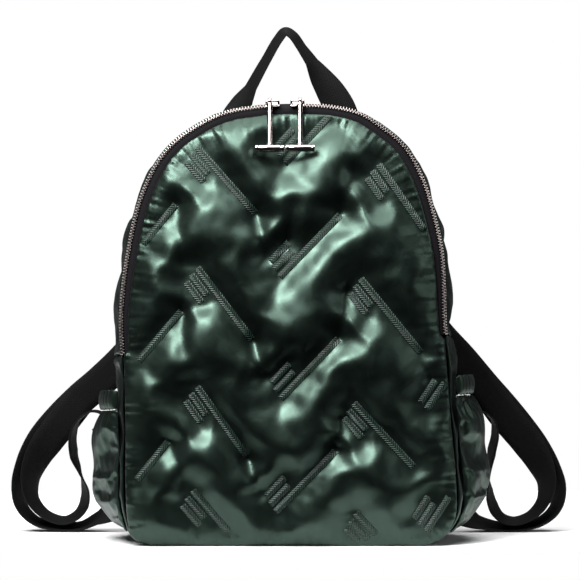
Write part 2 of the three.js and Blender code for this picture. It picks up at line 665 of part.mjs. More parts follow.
// Plain slide round the strap and its tail, hidden behind the bag
function strapSlide(strap) {
  const place = strap[SHARED_FROM * STRAP_PER_ROW + 1];
  const next = strap[SHARED_FROM * STRAP_PER_ROW + 2];
  const previous = strap[SHARED_FROM * STRAP_PER_ROW];
  const along = next.at.clone().sub(previous.at).normalize();
  const { across, face } = webFrame(along, place.turn);
  const half = [WEB_WIDTH / 2 + SLIDE_PLAY, layerStep / 2 + WEB_THICK / 2 + SLIDE_PLAY];
  const frame = new THREE.Shape();
  const rectangle = (path, w, h) => path.moveTo(-w, -h).lineTo(w, -h).lineTo(w, h).lineTo(-w, h).closePath();
  rectangle(frame, half[0] + SLIDE_WALL, half[1] + SLIDE_WALL);
  const slot = new THREE.Path();
  rectangle(slot, half[0], half[1]);
  frame.holes.push(slot);
  const geometry = new THREE.ExtrudeGeometry(frame, { depth: SLIDE_LENGTH, bevelEnabled: false });
  geometry.translate(0, 0, -SLIDE_LENGTH / 2);
  const basis = new THREE.Matrix4().makeBasis(across, face, across.clone().cross(face));
  const middle = place.at.clone().addScaledVector(face, layerStep / 2);
  geometry.applyMatrix4(basis.setPosition(middle));
  return indexed(geometry);
}

// A geometry with only its places and shared corners
function indexed(geometry) {
  geometry.deleteAttribute('normal');
  geometry.deleteAttribute('uv');
  const merged = mergeVertices(geometry, 1e-4);
  merged.computeVertexNormals();
  return merged;
}

// Join closed geometries into one body
function joined(geometries) {
  const bodies = geometries.map((geometry) => {
    const merged = indexed(geometry);
    return new wasm.Manifold(new wasm.Mesh({
      numProp: 3,
      vertProperties: merged.attributes.position.array,
      triVerts: Uint32Array.from(merged.index.array),
    }));
  });
  const mesh = bodies.reduce((sum, body) => sum.add(body)).getMesh();
  const geometry = new THREE.BufferGeometry();
  geometry.setAttribute('position', new THREE.Float32BufferAttribute(mesh.vertProperties, 3));
  geometry.setIndex([...mesh.triVerts]);
  geometry.computeVertexNormals();
  return geometry;
}

// Slider seen along the zip: x along it, y across it, z away from the bag; z is 0 at the chain's middle
const plateLow = CHAIN_THICK / 2 + SEAM_GAP;
const bailZ = plateLow + SLIDER_PLATE + BAIL_HEIGHT;
function slider() {
  const plate = new THREE.Shape();
  const nose = SLIDER_WIDTH * 0.36;
  plate.moveTo(-SLIDER_LENGTH / 2, -SLIDER_WIDTH * 0.42);
  plate.lineTo(-SLIDER_LENGTH * 0.1, -SLIDER_WIDTH / 2);
  plate.lineTo(SLIDER_LENGTH / 2, -nose);
  plate.lineTo(SLIDER_LENGTH / 2, nose);
  plate.lineTo(-SLIDER_LENGTH * 0.1, SLIDER_WIDTH / 2);
  plate.lineTo(-SLIDER_LENGTH / 2, SLIDER_WIDTH * 0.42);
  plate.closePath();
  const cover = new THREE.ExtrudeGeometry(plate, { depth: SLIDER_PLATE, bevelEnabled: false });
  cover.translate(0, 0, plateLow);
  const webHeight = plateLow + SLIDER_PLATE / 2 + CHAIN_THICK / 2;
  const web = new THREE.BoxGeometry(SLIDER_LENGTH, CHAIN_WIDTH * 0.7, webHeight);
  web.translate(0, 0, plateLow + SLIDER_PLATE / 2 - webHeight / 2);
  const arch = new THREE.Shape();
  const reach = SLIDER_LENGTH / 2 - BAIL_INSET;
  const top = BAIL_HEIGHT + BAIL_BAR / 2 + SLIDER_PLATE / 2;
  arch.moveTo(-reach, 0);
  arch.lineTo(-reach, top - BAIL_CORNER);
  arch.quadraticCurveTo(-reach, top, -reach + BAIL_CORNER, top);
  arch.lineTo(reach - BAIL_CORNER, top);
  arch.quadraticCurveTo(reach, top, reach, top - BAIL_CORNER);
  arch.lineTo(reach, 0);
  arch.lineTo(reach - BAIL_BAR, 0);
  arch.lineTo(reach - BAIL_BAR, top - BAIL_BAR);
  arch.lineTo(-reach + BAIL_BAR, top - BAIL_BAR);
  arch.lineTo(-reach + BAIL_BAR, 0);
  arch.closePath();
  const bail = new THREE.ExtrudeGeometry(arch, { depth: BAIL_BAR, bevelEnabled: false, curveSegments: 3 });
  bail.translate(0, 0, -BAIL_BAR / 2);
  bail.rotateX(Math.PI / 2);
  bail.translate(0, 0, plateLow + SLIDER_PLATE / 2);
  return joined([cover, web, bail]);
}

// Pull: an eye round the bail's bar, a rod and a grooved T-bar, hanging down from the origin
const eyeBore = (BAIL_BAR / 2) * Math.SQRT2 + BAIL_CLEAR;
const eyeRadius = eyeBore + EYE_WALL;
function pull() {
  const ring = [[eyeBore, -1], [eyeRadius, -1], [eyeRadius, 1], [eyeBore, 1], [eyeBore, -1]];
  const eye = new THREE.LatheGeometry(ring.map(([r, s]) => new THREE.Vector2(r, (s * EYE_WIDTH) / 2)), 14);
  eye.rotateZ(Math.PI / 2);
  const rodTop = eyeBore + EYE_WALL * 0.4;
  const rod = new THREE.CylinderGeometry(ROD_RADIUS, ROD_RADIUS, PULL_DROP - rodTop, 10);
  rod.rotateX(Math.PI / 2);
  rod.translate(0, 0, -(PULL_DROP + rodTop) / 2);
  const end = TEE_LENGTH / 2;
  const cut = TEE_RADIUS - TEE_GROOVE;
  const half = [
    [0, end], [cut, end], [TEE_RADIUS, end - TEE_CHAMFER], [TEE_RADIUS, end - TEE_RING + TEE_RING_HALF],
    [cut, end - TEE_RING], [TEE_RADIUS, end - TEE_RING - TEE_RING_HALF],
  ];
  const section = [...half.map(([r, x]) => [r, -x]), ...half.toReversed()];
  const tee = new THREE.LatheGeometry(section.map(([r, s]) => new THREE.Vector2(r, s)), 12);
  tee.rotateZ(Math.PI / 2);
  tee.translate(0, 0, -PULL_DROP);
  return joined([eye, rod, tee]);
}

// Places of the two sliders on the crown; mouth is +1 where the other slider lies to the right
const eyeOffset = SLIDER_LENGTH / 2 - BAIL_INSET - BAIL_BAR - EYE_WIDTH / 2 - SEAM_GAP;
const sliderReach = (TEE_LENGTH + TEE_GAP) / 2 - eyeOffset;
const SLIDERS = [
  { name: 'left', x: ZIP_MEETS_X - sliderReach, mouth: 1 },
  { name: 'right', x: ZIP_MEETS_X + sliderReach, mouth: -1 },
];
const crownShare = (x) => {
  let low = 0.3;
  let high = 0.7;
  for (let k = 0; k < 40; k += 1) {
    const middle = (low + high) / 2;
    if (rim.getPointAt(middle).x < x) low = middle;
    else high = middle;
  }
  return (low + high) / 2;
};

// Lean of a hanging pull from plumb, so that its T-bar lies against the padding
function pullLean(pivot) {
  let lean = 0;
  for (let k = 0; k < 12; k += 1) {
    const z = pivot.z - PULL_DROP * Math.cos(lean);
    const spots = [-0.5, -0.25, 0, 0.25, 0.5].map((s) => V(pivot.x + s * TEE_LENGTH, 0, z));
    const faces = spots.map((spot) => {
      const crown = rimAt(crownShare(spot.x)).point.z - chainReach - TAPE_WIDTH - 2 * SEAM_GAP;
      return frontY(spot, crown - z, EDGE_GATHER);
    });
    const y = Math.min(...faces) - TEE_RADIUS - PULL_REST_GAP;
    lean = Math.asin(clamp((pivot.y - y) / PULL_DROP, 0, 0.9));
  }
  return lean;
}

// Finishes as the photograph shows them
const satin = { color: 0x33463f, roughness: 0.34, metalness: 0.35 };
const FINISH = {
  satin,
  satinDark: { ...satin, color: 0x2a3a34 },
  webbing: { color: 0x0b0b0d, roughness: 0.8, metalness: 0 },
  tape: { color: 0x1a1416, roughness: 0.75, metalness: 0 },
  teeth: { color: 0xb9b4b2, roughness: 0.28, metalness: 1 },
  nickel: { color: 0xc9bfbd, roughness: 0.12, metalness: 1 },
  plastic: { color: 0x101012, roughness: 0.5, metalness: 0 },
};

const backpack = new THREE.Group();
function add(name, geometry, finish) {
  const mesh = new THREE.Mesh(geometry, new THREE.MeshStandardMaterial(FINISH[finish]));
  mesh.name = name;
  backpack.add(mesh);
  return mesh;
}

const seamShare = SEAM_GAP / rimLength;
const gussetStart = -rearStart + TAPE_REAR + SEAM_GAP;

add('front_panel', frontPanel(), 'satin');
add('zip_gusset', wall(zipFrom, zipTo, ZIP_STEPS, gussetStart), 'satin');
add('side_panel_left', wall(0, zipFrom - seamShare, stepsFor(zipFrom), sideStart), 'satin');
add('side_panel_right', wall(zipTo + seamShare, 1, stepsFor(1 - zipTo), sideStart), 'satin');
add('base_panel', basePanel(), 'satinDark');
add('back_panel', backPanel(), 'satinDark');

for (const [side, label] of [[-1, 'left'], [1, 'right']]) {
  add(`side_pocket_${label}`, pocket(side), 'satin');
  add(`pocket_band_${label}`, pocketBand(side), 'satin');
}

const sliderHalf = (SLIDER_LENGTH / 2 + SEAM_GAP) / rimLength;
add('zip_tape_front', trim(zipFrom, zipTo, ZIP_STEPS, tapeFront), 'tape');
add('zip_tape_rear', trim(zipFrom, zipTo, ZIP_STEPS, tapeRear), 'tape');
const chainEnds = SLIDERS.map(({ x }) => crownShare(x));
const leftRun = [zipFrom, chainEnds[0] - sliderHalf];
const rightRun = [chainEnds[1] + sliderHalf, zipTo];
add('zip_teeth_left', trim(...leftRun, stepsFor(leftRun[1] - leftRun[0]), chainSection), 'teeth');
add('zip_teeth_right', trim(...rightRun, stepsFor(rightRun[1] - rightRun[0]), chainSection), 'teeth');

for (const { name, x, mouth } of SLIDERS) {
  const { point, out } = rimAt(crownShare(x));
  const seat = point.clone().setY(seamY(point.z));
  const away = out.clone().multiplyScalar(Math.sin(tilt)).add(V(0, -Math.cos(tilt), 0));
  const along = V(-out.z, 0, out.x).multiplyScalar(mouth);
  const body = slider();
  const basis = new THREE.Matrix4().makeBasis(along, away.clone().cross(along), away);
  body.applyMatrix4(basis.setPosition(seat));
  add(`zip_slider_${name}`, body, 'nickel');
  const pivot = seat.clone().addScaledVector(away, bailZ).addScaledVector(along, eyeOffset);
  const hanging = add(`zip_pull_${name}`, pull(), 'nickel');
  hanging.position.copy(pivot);
  hanging.rotation.x = -pullLean(pivot);
}

add('top_handle', webbing(handleStations()), 'webbing');
for (const [side, label] of [[-1, 'left'], [1, 'right']]) {
  const strap = strapRoute(STRAP_ROWS, side, STRAP_PER_ROW);
  const tail = strapRoute(TAIL_ROWS, side, STRAP_PER_ROW, tailLead(strap));
  add(`shoulder_strap_${label}`, mirrored(webbing(strap), side), 'webbing');
  add(`strap_tail_${label}`, mirrored(webbing(tail), side), 'webbing');
  add(`strap_slide_${label}`, mirrored(strapSlide(strap), side), 'plastic');
}

export default backpack;
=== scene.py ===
"""Studio scene of a quilted puffer backpack that stands on its base.

Lengths are worked out in millimetres and turned to metres where a mesh is made.
"""

import logging
import math
from dataclasses import dataclass
from enum import Enum

import bpy
import numpy as np
from mathutils import Matrix, Vector, noise
from mathutils.bvhtree import BVHTree
from mathutils.geometry import delaunay_2d_cdt
from mathutils.kdtree import KDTree


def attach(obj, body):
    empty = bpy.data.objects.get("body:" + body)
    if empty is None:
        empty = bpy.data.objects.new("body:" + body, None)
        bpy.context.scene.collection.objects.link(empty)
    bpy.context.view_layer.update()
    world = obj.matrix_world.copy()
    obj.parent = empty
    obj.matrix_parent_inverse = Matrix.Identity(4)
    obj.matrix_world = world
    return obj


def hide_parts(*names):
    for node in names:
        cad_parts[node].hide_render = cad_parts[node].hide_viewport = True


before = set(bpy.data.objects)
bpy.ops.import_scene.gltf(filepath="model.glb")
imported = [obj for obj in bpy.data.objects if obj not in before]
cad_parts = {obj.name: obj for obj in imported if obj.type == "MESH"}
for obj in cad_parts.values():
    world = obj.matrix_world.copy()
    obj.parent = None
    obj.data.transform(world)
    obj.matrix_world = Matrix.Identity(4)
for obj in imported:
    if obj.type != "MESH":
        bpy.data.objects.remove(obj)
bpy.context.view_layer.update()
LOG = logging.getLogger("backpack")
MM = 0.001
# Blender's wave texture repeats every 0.314 of its scale
WAVE_REPEAT = 0.314


class Body(Enum):
    """Bodies that the pieces ride on."""

    BAG = "bag"
    PULL_LEFT = "pull_left"
    PULL_RIGHT = "pull_right"


class Slot(Enum):
    """Names of the record's material slots."""

    SATIN = "satin"
    WEBBING = "webbing"
    TAPE = "zip_tape"
    TEETH = "zip_teeth"
    NICKEL = "nickel"


# ---------------------------------------------------------------- small tools


def linear(code: str) -> tuple:
    """Turn an sRGB hex colour such as 33463F into linear RGBA."""
    parts = [int(code[k : k + 2], 16) / 255 for k in (0, 2, 4)]
    return tuple(c / 12.92 if c <= 0.04045 else ((c + 0.055) / 1.055) ** 2.4 for c in parts) + (1.0,)


def add_node(tree: bpy.types.NodeTree, kind: str, inputs: dict | None = None, **settings: object) -> bpy.types.Node:
    """Add a node with its settings and links.

    Args:
        tree: The node tree.
        kind: The node's type without the words ShaderNode in front.
        inputs: Socket names or numbers, each with a value or the output that feeds it.
        settings: Properties of the node.

    Returns:
        The new node.
    """
    node = tree.nodes.new("ShaderNode" + kind)
    for key, value in settings.items():
        setattr(node, key, value)
    for key, value in (inputs or {}).items():
        socket = node.inputs[key]
        if isinstance(value, bpy.types.NodeSocket):
            tree.links.new(value, socket)
        else:
            socket.default_value = value
    return node


def start_material(name: str) -> tuple:
    """Make an empty material.

    Args:
        name: Its name.

    Returns:
        The material and its node tree.
    """
    material = bpy.data.materials.new(name)
    material.use_nodes = True
    material.node_tree.nodes.clear()
    return material, material.node_tree


def smoothstep(low: float, high: float, value: np.ndarray) -> np.ndarray:
    """Rise smoothly from 0 at low to 1 at high."""
    share = np.clip((value - low) / (high - low), 0, 1)
    return share * share * (3 - 2 * share)


def to_object(name: str, points: np.ndarray, faces: list, uv: np.ndarray | None = None) -> bpy.types.Object:
    """Make a mesh object at the origin.

    Args:
        name: Name of the piece.
        points: Places in millimetres.
        faces: Corner numbers of each face.
        uv: Place of each point on the cloth in millimetres, if the pattern follows it.

    Returns:
        The object.
    """
    mesh = bpy.data.meshes.new(name)
    mesh.from_pydata((np.asarray(points) * MM).tolist(), [], faces)
    if uv is not None:
        layer = mesh.uv_layers.new(name="cloth")
        corners = np.empty(len(mesh.loops), dtype=np.int32)
        mesh.loops.foreach_get("vertex_index", corners)
        layer.data.foreach_set("uv", (np.asarray(uv)[corners] * MM).astype(np.float32).ravel())
    mesh.update()
    obj = bpy.data.objects.new(name, mesh)
    bpy.context.scene.collection.objects.link(obj)
    return obj


def only(obj: bpy.types.Object) -> None:
    """Select one object alone and make it active."""
    bpy.ops.object.select_all(action="DESELECT")
    obj.select_set(True)
    bpy.context.view_layer.objects.active = obj


def apply_modifier(obj: bpy.types.Object, kind: str, **settings: object) -> None:
    """Add a modifier with its settings and apply it at once."""
    only(obj)
    modifier = obj.modifiers.new(kind.title(), kind)
    for key, value in settings.items():
        setattr(modifier, key, value)
    bpy.ops.object.modifier_apply(modifier=modifier.name)


def outward(obj: bpy.types.Object) -> None:
    """Turn all faces of a closed mesh outwards."""
    only(obj)
    bpy.ops.object.mode_set(mode="EDIT")
    bpy.ops.mesh.select_all(action="SELECT")
    bpy.ops.mesh.normals_make_consistent(inside=False)
    bpy.ops.object.mode_set(mode="OBJECT")


def smooth(obj: bpy.types.Object, degrees: float = 40.0) -> None:
    """Shade a piece smooth except at edges sharper than the angle."""
    only(obj)
    bpy.ops.object.shade_smooth_by_angle(angle=math.radians(degrees))


def finish_piece(obj: bpy.types.Object, body: Body, slot: Slot, material: bpy.types.Material, *nodes: str) -> None:
    """Dress a piece, let it ride on its body and replace CAD nodes by it.

    Args:
        obj: The piece.
        body: The body that it rides on.
        slot: The record's material slot; not used.
        material: Its finish.
        nodes: Names of the CAD nodes that it replaces.
    """
    obj.data.materials.clear()
    obj.data.materials.append(material)
    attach(obj, body.value)
    if nodes:
        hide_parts(*nodes)
    LOG.info("%s: %d faces", obj.name, len(obj.data.polygons))


def catmull(points: np.ndarray, per_row: int) -> np.ndarray:
    """Run a centripetal Catmull-Rom curve through points.

    Args:
        points: The points in order.
        per_row: Places from each point to the next.

    Returns:
        The places along the curve, the points among them.
    """
    pts = np.vstack([2 * points[0] - points[1], points, 2 * points[-1] - points[-2]])
    places = []
    for k in range(1, len(pts) - 2):
        p0, p1, p2, p3 = pts[k - 1 : k + 3]
        knots = np.cumsum([0.0] + [max(np.linalg.norm(b - a), 1e-4) ** 0.5 for a, b in ((p0, p1), (p1, p2), (p2, p3))])
        last = per_row + (k == len(pts) - 3)
        t = np.linspace(knots[1], knots[2], per_row + 1)[:last, None]
        a1 = (knots[1] - t) / knots[1] * p0 + t / knots[1] * p1
        a2 = ((knots[2] - t) * p1 + (t - knots[1]) * p2) / (knots[2] - knots[1])
        a3 = ((knots[3] - t) * p2 + (t - knots[2]) * p3) / (knots[3] - knots[2])
        b1 = ((knots[2] - t) * a1 + t * a2) / knots[2]
        b2 = ((knots[3] - t) * a2 + (t - knots[1]) * a3) / (knots[3] - knots[1])
        places.append(((knots[2] - t) * b1 + (t - knots[1]) * b2) / (knots[2] - knots[1]))
    return np.vstack(places)


def grid_faces(rows: int, cols: int, start: int = 0) -> list:
    """List the four-cornered faces of a grid of points.

    Args:
        rows: Number of rows of points.
        cols: Points in a row.
        start: Number of the first point.

    Returns:
        The faces, each a tuple of four point numbers.
    """
    numbers = start + np.arange(rows * cols).reshape(rows, cols)
    quads = np.stack([numbers[:-1, :-1], numbers[:-1, 1:], numbers[1:, 1:], numbers[1:, :-1]], axis=-1)
    return [tuple(q) for q in quads.reshape(-1, 4).tolist()]


def loft(rings: np.ndarray) -> tuple:
    """Close a skin round rings of equally many points.

    Args:
        rings: An array of rings by points by three.

    Returns:
        The points and the faces.
    """
    count, size, _ = rings.shape
    faces = []
    for r in range(count - 1):
        for k in range(size):
            n = (k + 1) % size
            faces.append((r * size + k, r * size + n, (r + 1) * size + n, (r + 1) * size + k))
    faces.append(tuple(range(size))[::-1])
    faces.append(tuple(range((count - 1) * size, count * size)))
    return rings.reshape(-1, 3), faces


def segment_distance(x: np.ndarray, z: np.ndarray, seg: tuple) -> np.ndarray:
    """Distance of places to a straight segment given as x0, z0, x1, z1."""
    x0, z0, x1, z1 = seg
    dx, dz = x1 - x0, z1 - z0
    share = np.clip(((x - x0) * dx + (z - z0) * dz) / (dx * dx + dz * dz), 0, 1)
    return np.hypot(x - x0 - share * dx, z - z0 - share * dz)


def read_places(mesh: bpy.types.Mesh) -> np.ndarray:
    """Read the places of a mesh's points in metres."""
    flat = np.empty(len(mesh.vertices) * 3, dtype=np.float32)
    mesh.vertices.foreach_get("co", flat)
    return flat.reshape(-1, 3).astype(float)


def write_places(obj: bpy.types.Object, places: np.ndarray) -> None:
    """Move a piece's points to places in metres."""
    obj.data.vertices.foreach_set("co", places.astype(np.float32).ravel())
    obj.data.update()


def thicken(obj: bpy.types.Object, cloth: float) -> None:
    """Give settled cloth its thickness in millimetres and round it off."""
    apply_modifier(obj, "SOLIDIFY", thickness=cloth * MM, offset=-1.0)
    apply_modifier(obj, "SUBSURF", levels=1, render_levels=1)


@dataclass(frozen=True)
class ClothSettling:
    """How a piece of cloth is let settle under the pressure of its filling."""

    pressure: float = 4.0
    spare: float = 0.05
    bending: float = 1.0
    tension: float = 15.0
    frames: int = 26
    cap: float = 9.0

    def settle(self, obj: bpy.types.Object, pinned: np.ndarray) -> None:
        """Let the cloth settle between its seams and keep the shape.

        Args:
            obj: The cloth, with its faces pointing out.
            pinned: Whether each point is sewn down.
        """
        group = obj.vertex_groups.new(name="sewn")
        group.add(np.flatnonzero(pinned).tolist(), 1.0, "REPLACE")
        modifier = obj.modifiers.new("Cloth", "CLOTH")
        cloth = modifier.settings
        cloth.quality = 6
        cloth.mass = 0.25
        cloth.tension_stiffness = cloth.compression_stiffness = self.tension
        cloth.shear_stiffness = self.tension * 0.5
        cloth.bending_stiffness = self.bending
        cloth.bending_damping = 1.0
        cloth.air_damping = 2.0
        cloth.use_pressure = True
        cloth.uniform_pressure_force = self.pressure
        cloth.vertex_group_mass = "sewn"
        cloth.shrink_min = -self.spare
        cloth.effector_weights.gravity = 0
        modifier.collision_settings.use_collision = False
        modifier.point_cache.frame_start = 1
        modifier.point_cache.frame_end = self.frames
        start = read_places(obj.data)
        for step in range(1, self.frames + 1):
            bpy.context.scene.frame_set(step)
        graph = bpy.context.evaluated_depsgraph_get()
        settled = read_places(obj.evaluated_get(graph).data)
        obj.modifiers.remove(modifier)
        obj.vertex_groups.remove(group)
        bpy.context.scene.frame_set(1)
        moved = settled - start
        far = np.linalg.norm(moved, axis=1, keepdims=True)
        limit = self.cap * MM
        eased = limit * np.tanh(far / limit) / np.maximum(far, 1e-9)
        write_places(obj, start + moved * eased)


# ------------------------------------------------------------------ finishes


@dataclass(frozen=True)
class NylonSatin:
    """Calendered nylon satin: hot rollers give it a metallic gloss that runs in broad soft lights."""

    light: str = "42524B"
    dark: str = "29362F"
    roughness: float = 0.37
    metallic: float = 0.95
    crinkle_mm: float = 15.0
    thread_mm: float = 0.55

    def make(self, name: str) -> bpy.types.Material:
        """Make the material under a name."""
        material, tree = start_material(name)
        coords = add_node(tree, "TexCoord").outputs["Object"]
        broad = add_node(tree, "TexNoise", {"Vector": coords, "Scale": 1 / (60 * MM), "Detail": 3.0})
        tone = add_node(tree, "MixRGB", {0: broad.outputs["Fac"], 1: linear(self.dark), 2: linear(self.light)})
        crinkle = add_node(
            tree,
            "TexNoise",
            {"Vector": coords, "Scale": 1 / (self.crinkle_mm * MM), "Detail": 4.0, "Roughness": 0.55,
             "Distortion": 0.8},
        )
        gloss = add_node(
            tree,
            "MapRange",
            {"Value": crinkle.outputs["Fac"], "From Min": 0.3, "From Max": 0.7,
             "To Min": self.roughness - 0.05, "To Max": self.roughness + 0.07},
        )
        # Twill lines are about 0.2 mm apart, drawn at 0.55 mm so that they show at all
        turned = add_node(tree, "Mapping", {"Vector": coords, "Rotation": (0.0, math.radians(35), 0.0)})
        twill = add_node(
            tree, "TexWave",
            {"Vector": turned.outputs["Vector"], "Scale": WAVE_REPEAT / (self.thread_mm * MM), "Distortion": 0.6},
            wave_type="BANDS", bands_direction="X",
        )
        fine = add_node(
            tree, "Bump",
            {"Height": twill.outputs["Fac"], "Strength": 0.06, "Distance": 0.05 * MM},
        )
        folds = add_node(
            tree, "Bump",
            {"Height": crinkle.outputs["Fac"], "Strength": 0.06, "Distance": 0.6 * MM,
             "Normal": fine.outputs["Normal"]},
        )
        shader = add_node(
            tree, "BsdfPrincipled",
            {"Base Color": tone.outputs["Color"], "Metallic": self.metallic, "Roughness": gloss.outputs["Result"],
             "Normal": folds.outputs["Normal"], "Sheen Weight": 0.03, "Sheen Roughness": 0.4},
        )
        add_node(tree, "OutputMaterial", {"Surface": shader.outputs["BSDF"]})
        return material


@dataclass(frozen=True)
class WovenWebbing:
    """Polypropylene webbing in a plain weave: matt, with round ribs across; its colour is painted lighter on each
    thread's crown and darker between threads, a painted highlight and painted shade.
    """

    # Colour between the threads (painted shade) and on their crowns (painted highlight)
    dark: str = "020203"
    light: str = "0B0B0D"
    rib_mm: float = 1.9
    warp_mm: float = 1.3
    depth_mm: float = 0.35
    roughness: float = 0.72

    def make(self, name: str) -> bpy.types.Material:
        """Make the material under a name."""
        material, tree = start_material(name)
        cloth = add_node(tree, "SeparateXYZ", {"Vector": add_node(tree, "UVMap", uv_map="cloth").outputs["UV"]})

        def wave(axis: str, pitch: float, shift: bpy.types.NodeSocket | float) -> bpy.types.NodeSocket:
            """Sine across the threads of one direction.

            Args:
                axis: The cloth axis, X or Y.
                pitch: Thread spacing in millimetres.
                shift: Added to the angle.

            Returns:
                The output from -1 to 1.
            """
            angle = add_node(
                tree, "Math", {0: cloth.outputs[axis], 1: 2 * math.pi / (pitch * MM), 2: shift},
                operation="MULTIPLY_ADD",
            )
            return add_node(tree, "Math", {0: angle.outputs[0]}, operation="SINE").outputs[0]

        warp = wave("X", self.warp_mm * 2, 0.0)
        side = add_node(tree, "Math", {0: warp}, operation="SIGN").outputs[0]
        half_turn = add_node(tree, "Math", {0: side, 1: math.pi / 2}, operation="MULTIPLY").outputs[0]
        weft = wave("Y", self.rib_mm, half_turn)
        round_warp = add_node(tree, "Math", {0: warp}, operation="ABSOLUTE").outputs[0]
        lift = add_node(tree, "Math", {0: weft, 1: 0.5, 2: 0.5}, operation="MULTIPLY_ADD").outputs[0]
        height = add_node(tree, "Math", {0: round_warp, 1: lift}, operation="MULTIPLY").outputs[0]
        # Painted highlight and painted shade: the colour follows the weave's height, lighter on thread crowns and
        # darker in the hollows between them.
        tone = add_node(tree, "MixRGB", {0: height, 1: linear(self.dark), 2: linear(self.light)})
        bump = add_node(tree, "Bump", {"Height": height, "Strength": 0.6, "Distance": self.depth_mm * MM})
        shader = add_node(
            tree, "BsdfPrincipled",
            {"Base Color": tone.outputs["Color"], "Roughness": self.roughness, "Normal": bump.outputs["Normal"],
             "Specular IOR Level": 0.15},
        )
        add_node(tree, "OutputMaterial", {"Surface": shader.outputs["BSDF"]})
        return material


@dataclass(frozen=True)
class EmbroideryThread:
    """Polyester embroidery thread laid in rows of short slanted stitches, its colour painted lighter on each stitch's
    crown and darker between stitches: a painted highlight and painted shade.
    """

    # Colour between the stitches (painted shade) and on their crowns (painted highlight)
    dark: str = "070D0B"
    light: str = "30473D"
    stitch_mm: float = 2.4
    row_mm: float = 3.1

    def make(self, name: str) -> bpy.types.Material:
        """Make the material under a name."""
        material, tree = start_material(name)
        cloth = add_node(tree, "SeparateXYZ", {"Vector": add_node(tree, "UVMap", uv_map="cloth").outputs["UV"]})
        rows = add_node(tree, "Math", {0: cloth.outputs["X"], 1: self.row_mm * MM, 2: 0.0}, operation="PINGPONG")
        slant = add_node(tree, "Math", {0: rows.outputs[0], 1: 1.0, 2: cloth.outputs["Y"]}, operation="MULTIPLY_ADD")
        angle = add_node(
            tree, "Math", {0: slant.outputs[0], 1: 2 * math.pi / (self.stitch_mm * MM)}, operation="MULTIPLY"
        )
        stitch = add_node(tree, "Math", {0: angle.outputs[0]}, operation="SINE").outputs[0]
        lift = add_node(tree, "Math", {0: stitch, 1: 0.5, 2: 0.5}, operation="MULTIPLY_ADD").outputs[0]
        # Painted highlight and painted shade: the colour follows the stitch height, lighter on the crowns and darker
        # between them.
        tone = add_node(tree, "MixRGB", {0: lift, 1: linear(self.dark), 2: linear(self.light)})
        bump = add_node(tree, "Bump", {"Height": lift, "Strength": 0.8, "Distance": 0.5 * MM})
        shader = add_node(
            tree, "BsdfPrincipled",
            {"Base Color": tone.outputs["Color"], "Roughness": 0.45, "Metallic": 0.2, "Normal": bump.outputs["Normal"]},
        )
        add_node(tree, "OutputMaterial", {"Surface": shader.outputs["BSDF"]})
        return material


@dataclass(frozen=True)
class PlatedMetal:
    """Nickel plate on die-cast zinc alloy: mirror bright, with faint waves and handling marks."""

    colour: str = "DCD2CF"
    roughness: float = 0.1
    wave_mm: float = 9.0

    def make(self, name: str) -> bpy.types.Material:
        """Make the material under a name."""
        material, tree = start_material(name)
        coords = add_node(tree, "TexCoord").outputs["Object"]
        marks = add_node(tree, "TexNoise", {"Vector": coords, "Scale": 1 / (2.5 * MM), "Detail": 5.0, "Roughness": 0.6})
        dull = add_node(
            tree, "MapRange",
            {"Value": marks.outputs["Fac"], "From Min": 0.35, "From Max": 0.75,
             "To Min": self.roughness - 0.02, "To Max": self.roughness + 0.14},
        )
        wavy = add_node(tree, "TexNoise", {"Vector": coords, "Scale": 1 / (self.wave_mm * MM), "Detail": 1.0})
        bump = add_node(tree, "Bump", {"Height": wavy.outputs["Fac"], "Strength": 0.15, "Distance": 0.3 * MM})
        tone = add_node(
            tree, "MixRGB", {0: marks.outputs["Fac"], 1: linear("B9ADAA"), 2: linear(self.colour)}
        )
        shader = add_node(
            tree, "BsdfPrincipled",
            {"Base Color": tone.outputs["Color"], "Metallic": 1.0, "Roughness": dull.outputs["Result"],
             "Normal": bump.outputs["Normal"]},
        )
        add_node(tree, "OutputMaterial", {"Surface": shader.outputs["BSDF"]})
        return material


@dataclass(frozen=True)
class MouldedAcetal:
    """Injection-moulded black acetal: an even low sheen over a fine spark-eroded grain."""

    colour: str = "111113"
    grain_mm: float = 0.5

    def make(self, name: str) -> bpy.types.Material:
        """Make the material under a name."""
        material, tree = start_material(name)
        coords = add_node(tree, "TexCoord").outputs["Object"]
        grain = add_node(tree, "TexNoise", {"Vector": coords, "Scale": 1 / (self.grain_mm * MM), "Detail": 2.0})
        bump = add_node(tree, "Bump", {"Height": grain.outputs["Fac"], "Strength": 0.2, "Distance": 0.1 * MM})
        tone = add_node(tree, "MixRGB", {0: grain.outputs["Fac"], 1: linear(self.colour), 2: linear("1B1B1E")})
        shader = add_node(
            tree, "BsdfPrincipled",
            {"Base Color": tone.outputs["Color"], "Roughness": 0.48, "Normal": bump.outputs["Normal"]},
        )
        add_node(tree, "OutputMaterial", {"Surface": shader.outputs["BSDF"]})
        return material


@dataclass(frozen=True)
class StudioPaper:
    """Seamless white studio paper: matt, with the slightest mottle."""

    def make(self, name: str) -> bpy.types.Material:
        """Make the material under a name."""
        material, tree = start_material(name)
        coords = add_node(tree, "TexCoord").outputs["Object"]
        mottle = add_node(tree, "TexNoise", {"Vector": coords, "Scale": 3.0, "Detail": 2.0})
        tone = add_node(tree, "MixRGB", {0: mottle.outputs["Fac"], 1: linear("F4F4F4"), 2: linear("FBFBFB")})
        shader = add_node(tree, "BsdfPrincipled", {"Base Color": tone.outputs["Color"], "Roughness": 0.9})
        add_node(tree, "OutputMaterial", {"Surface": shader.outputs["BSDF"]})
        return material


# ----------------------------------------------------------------- main forms


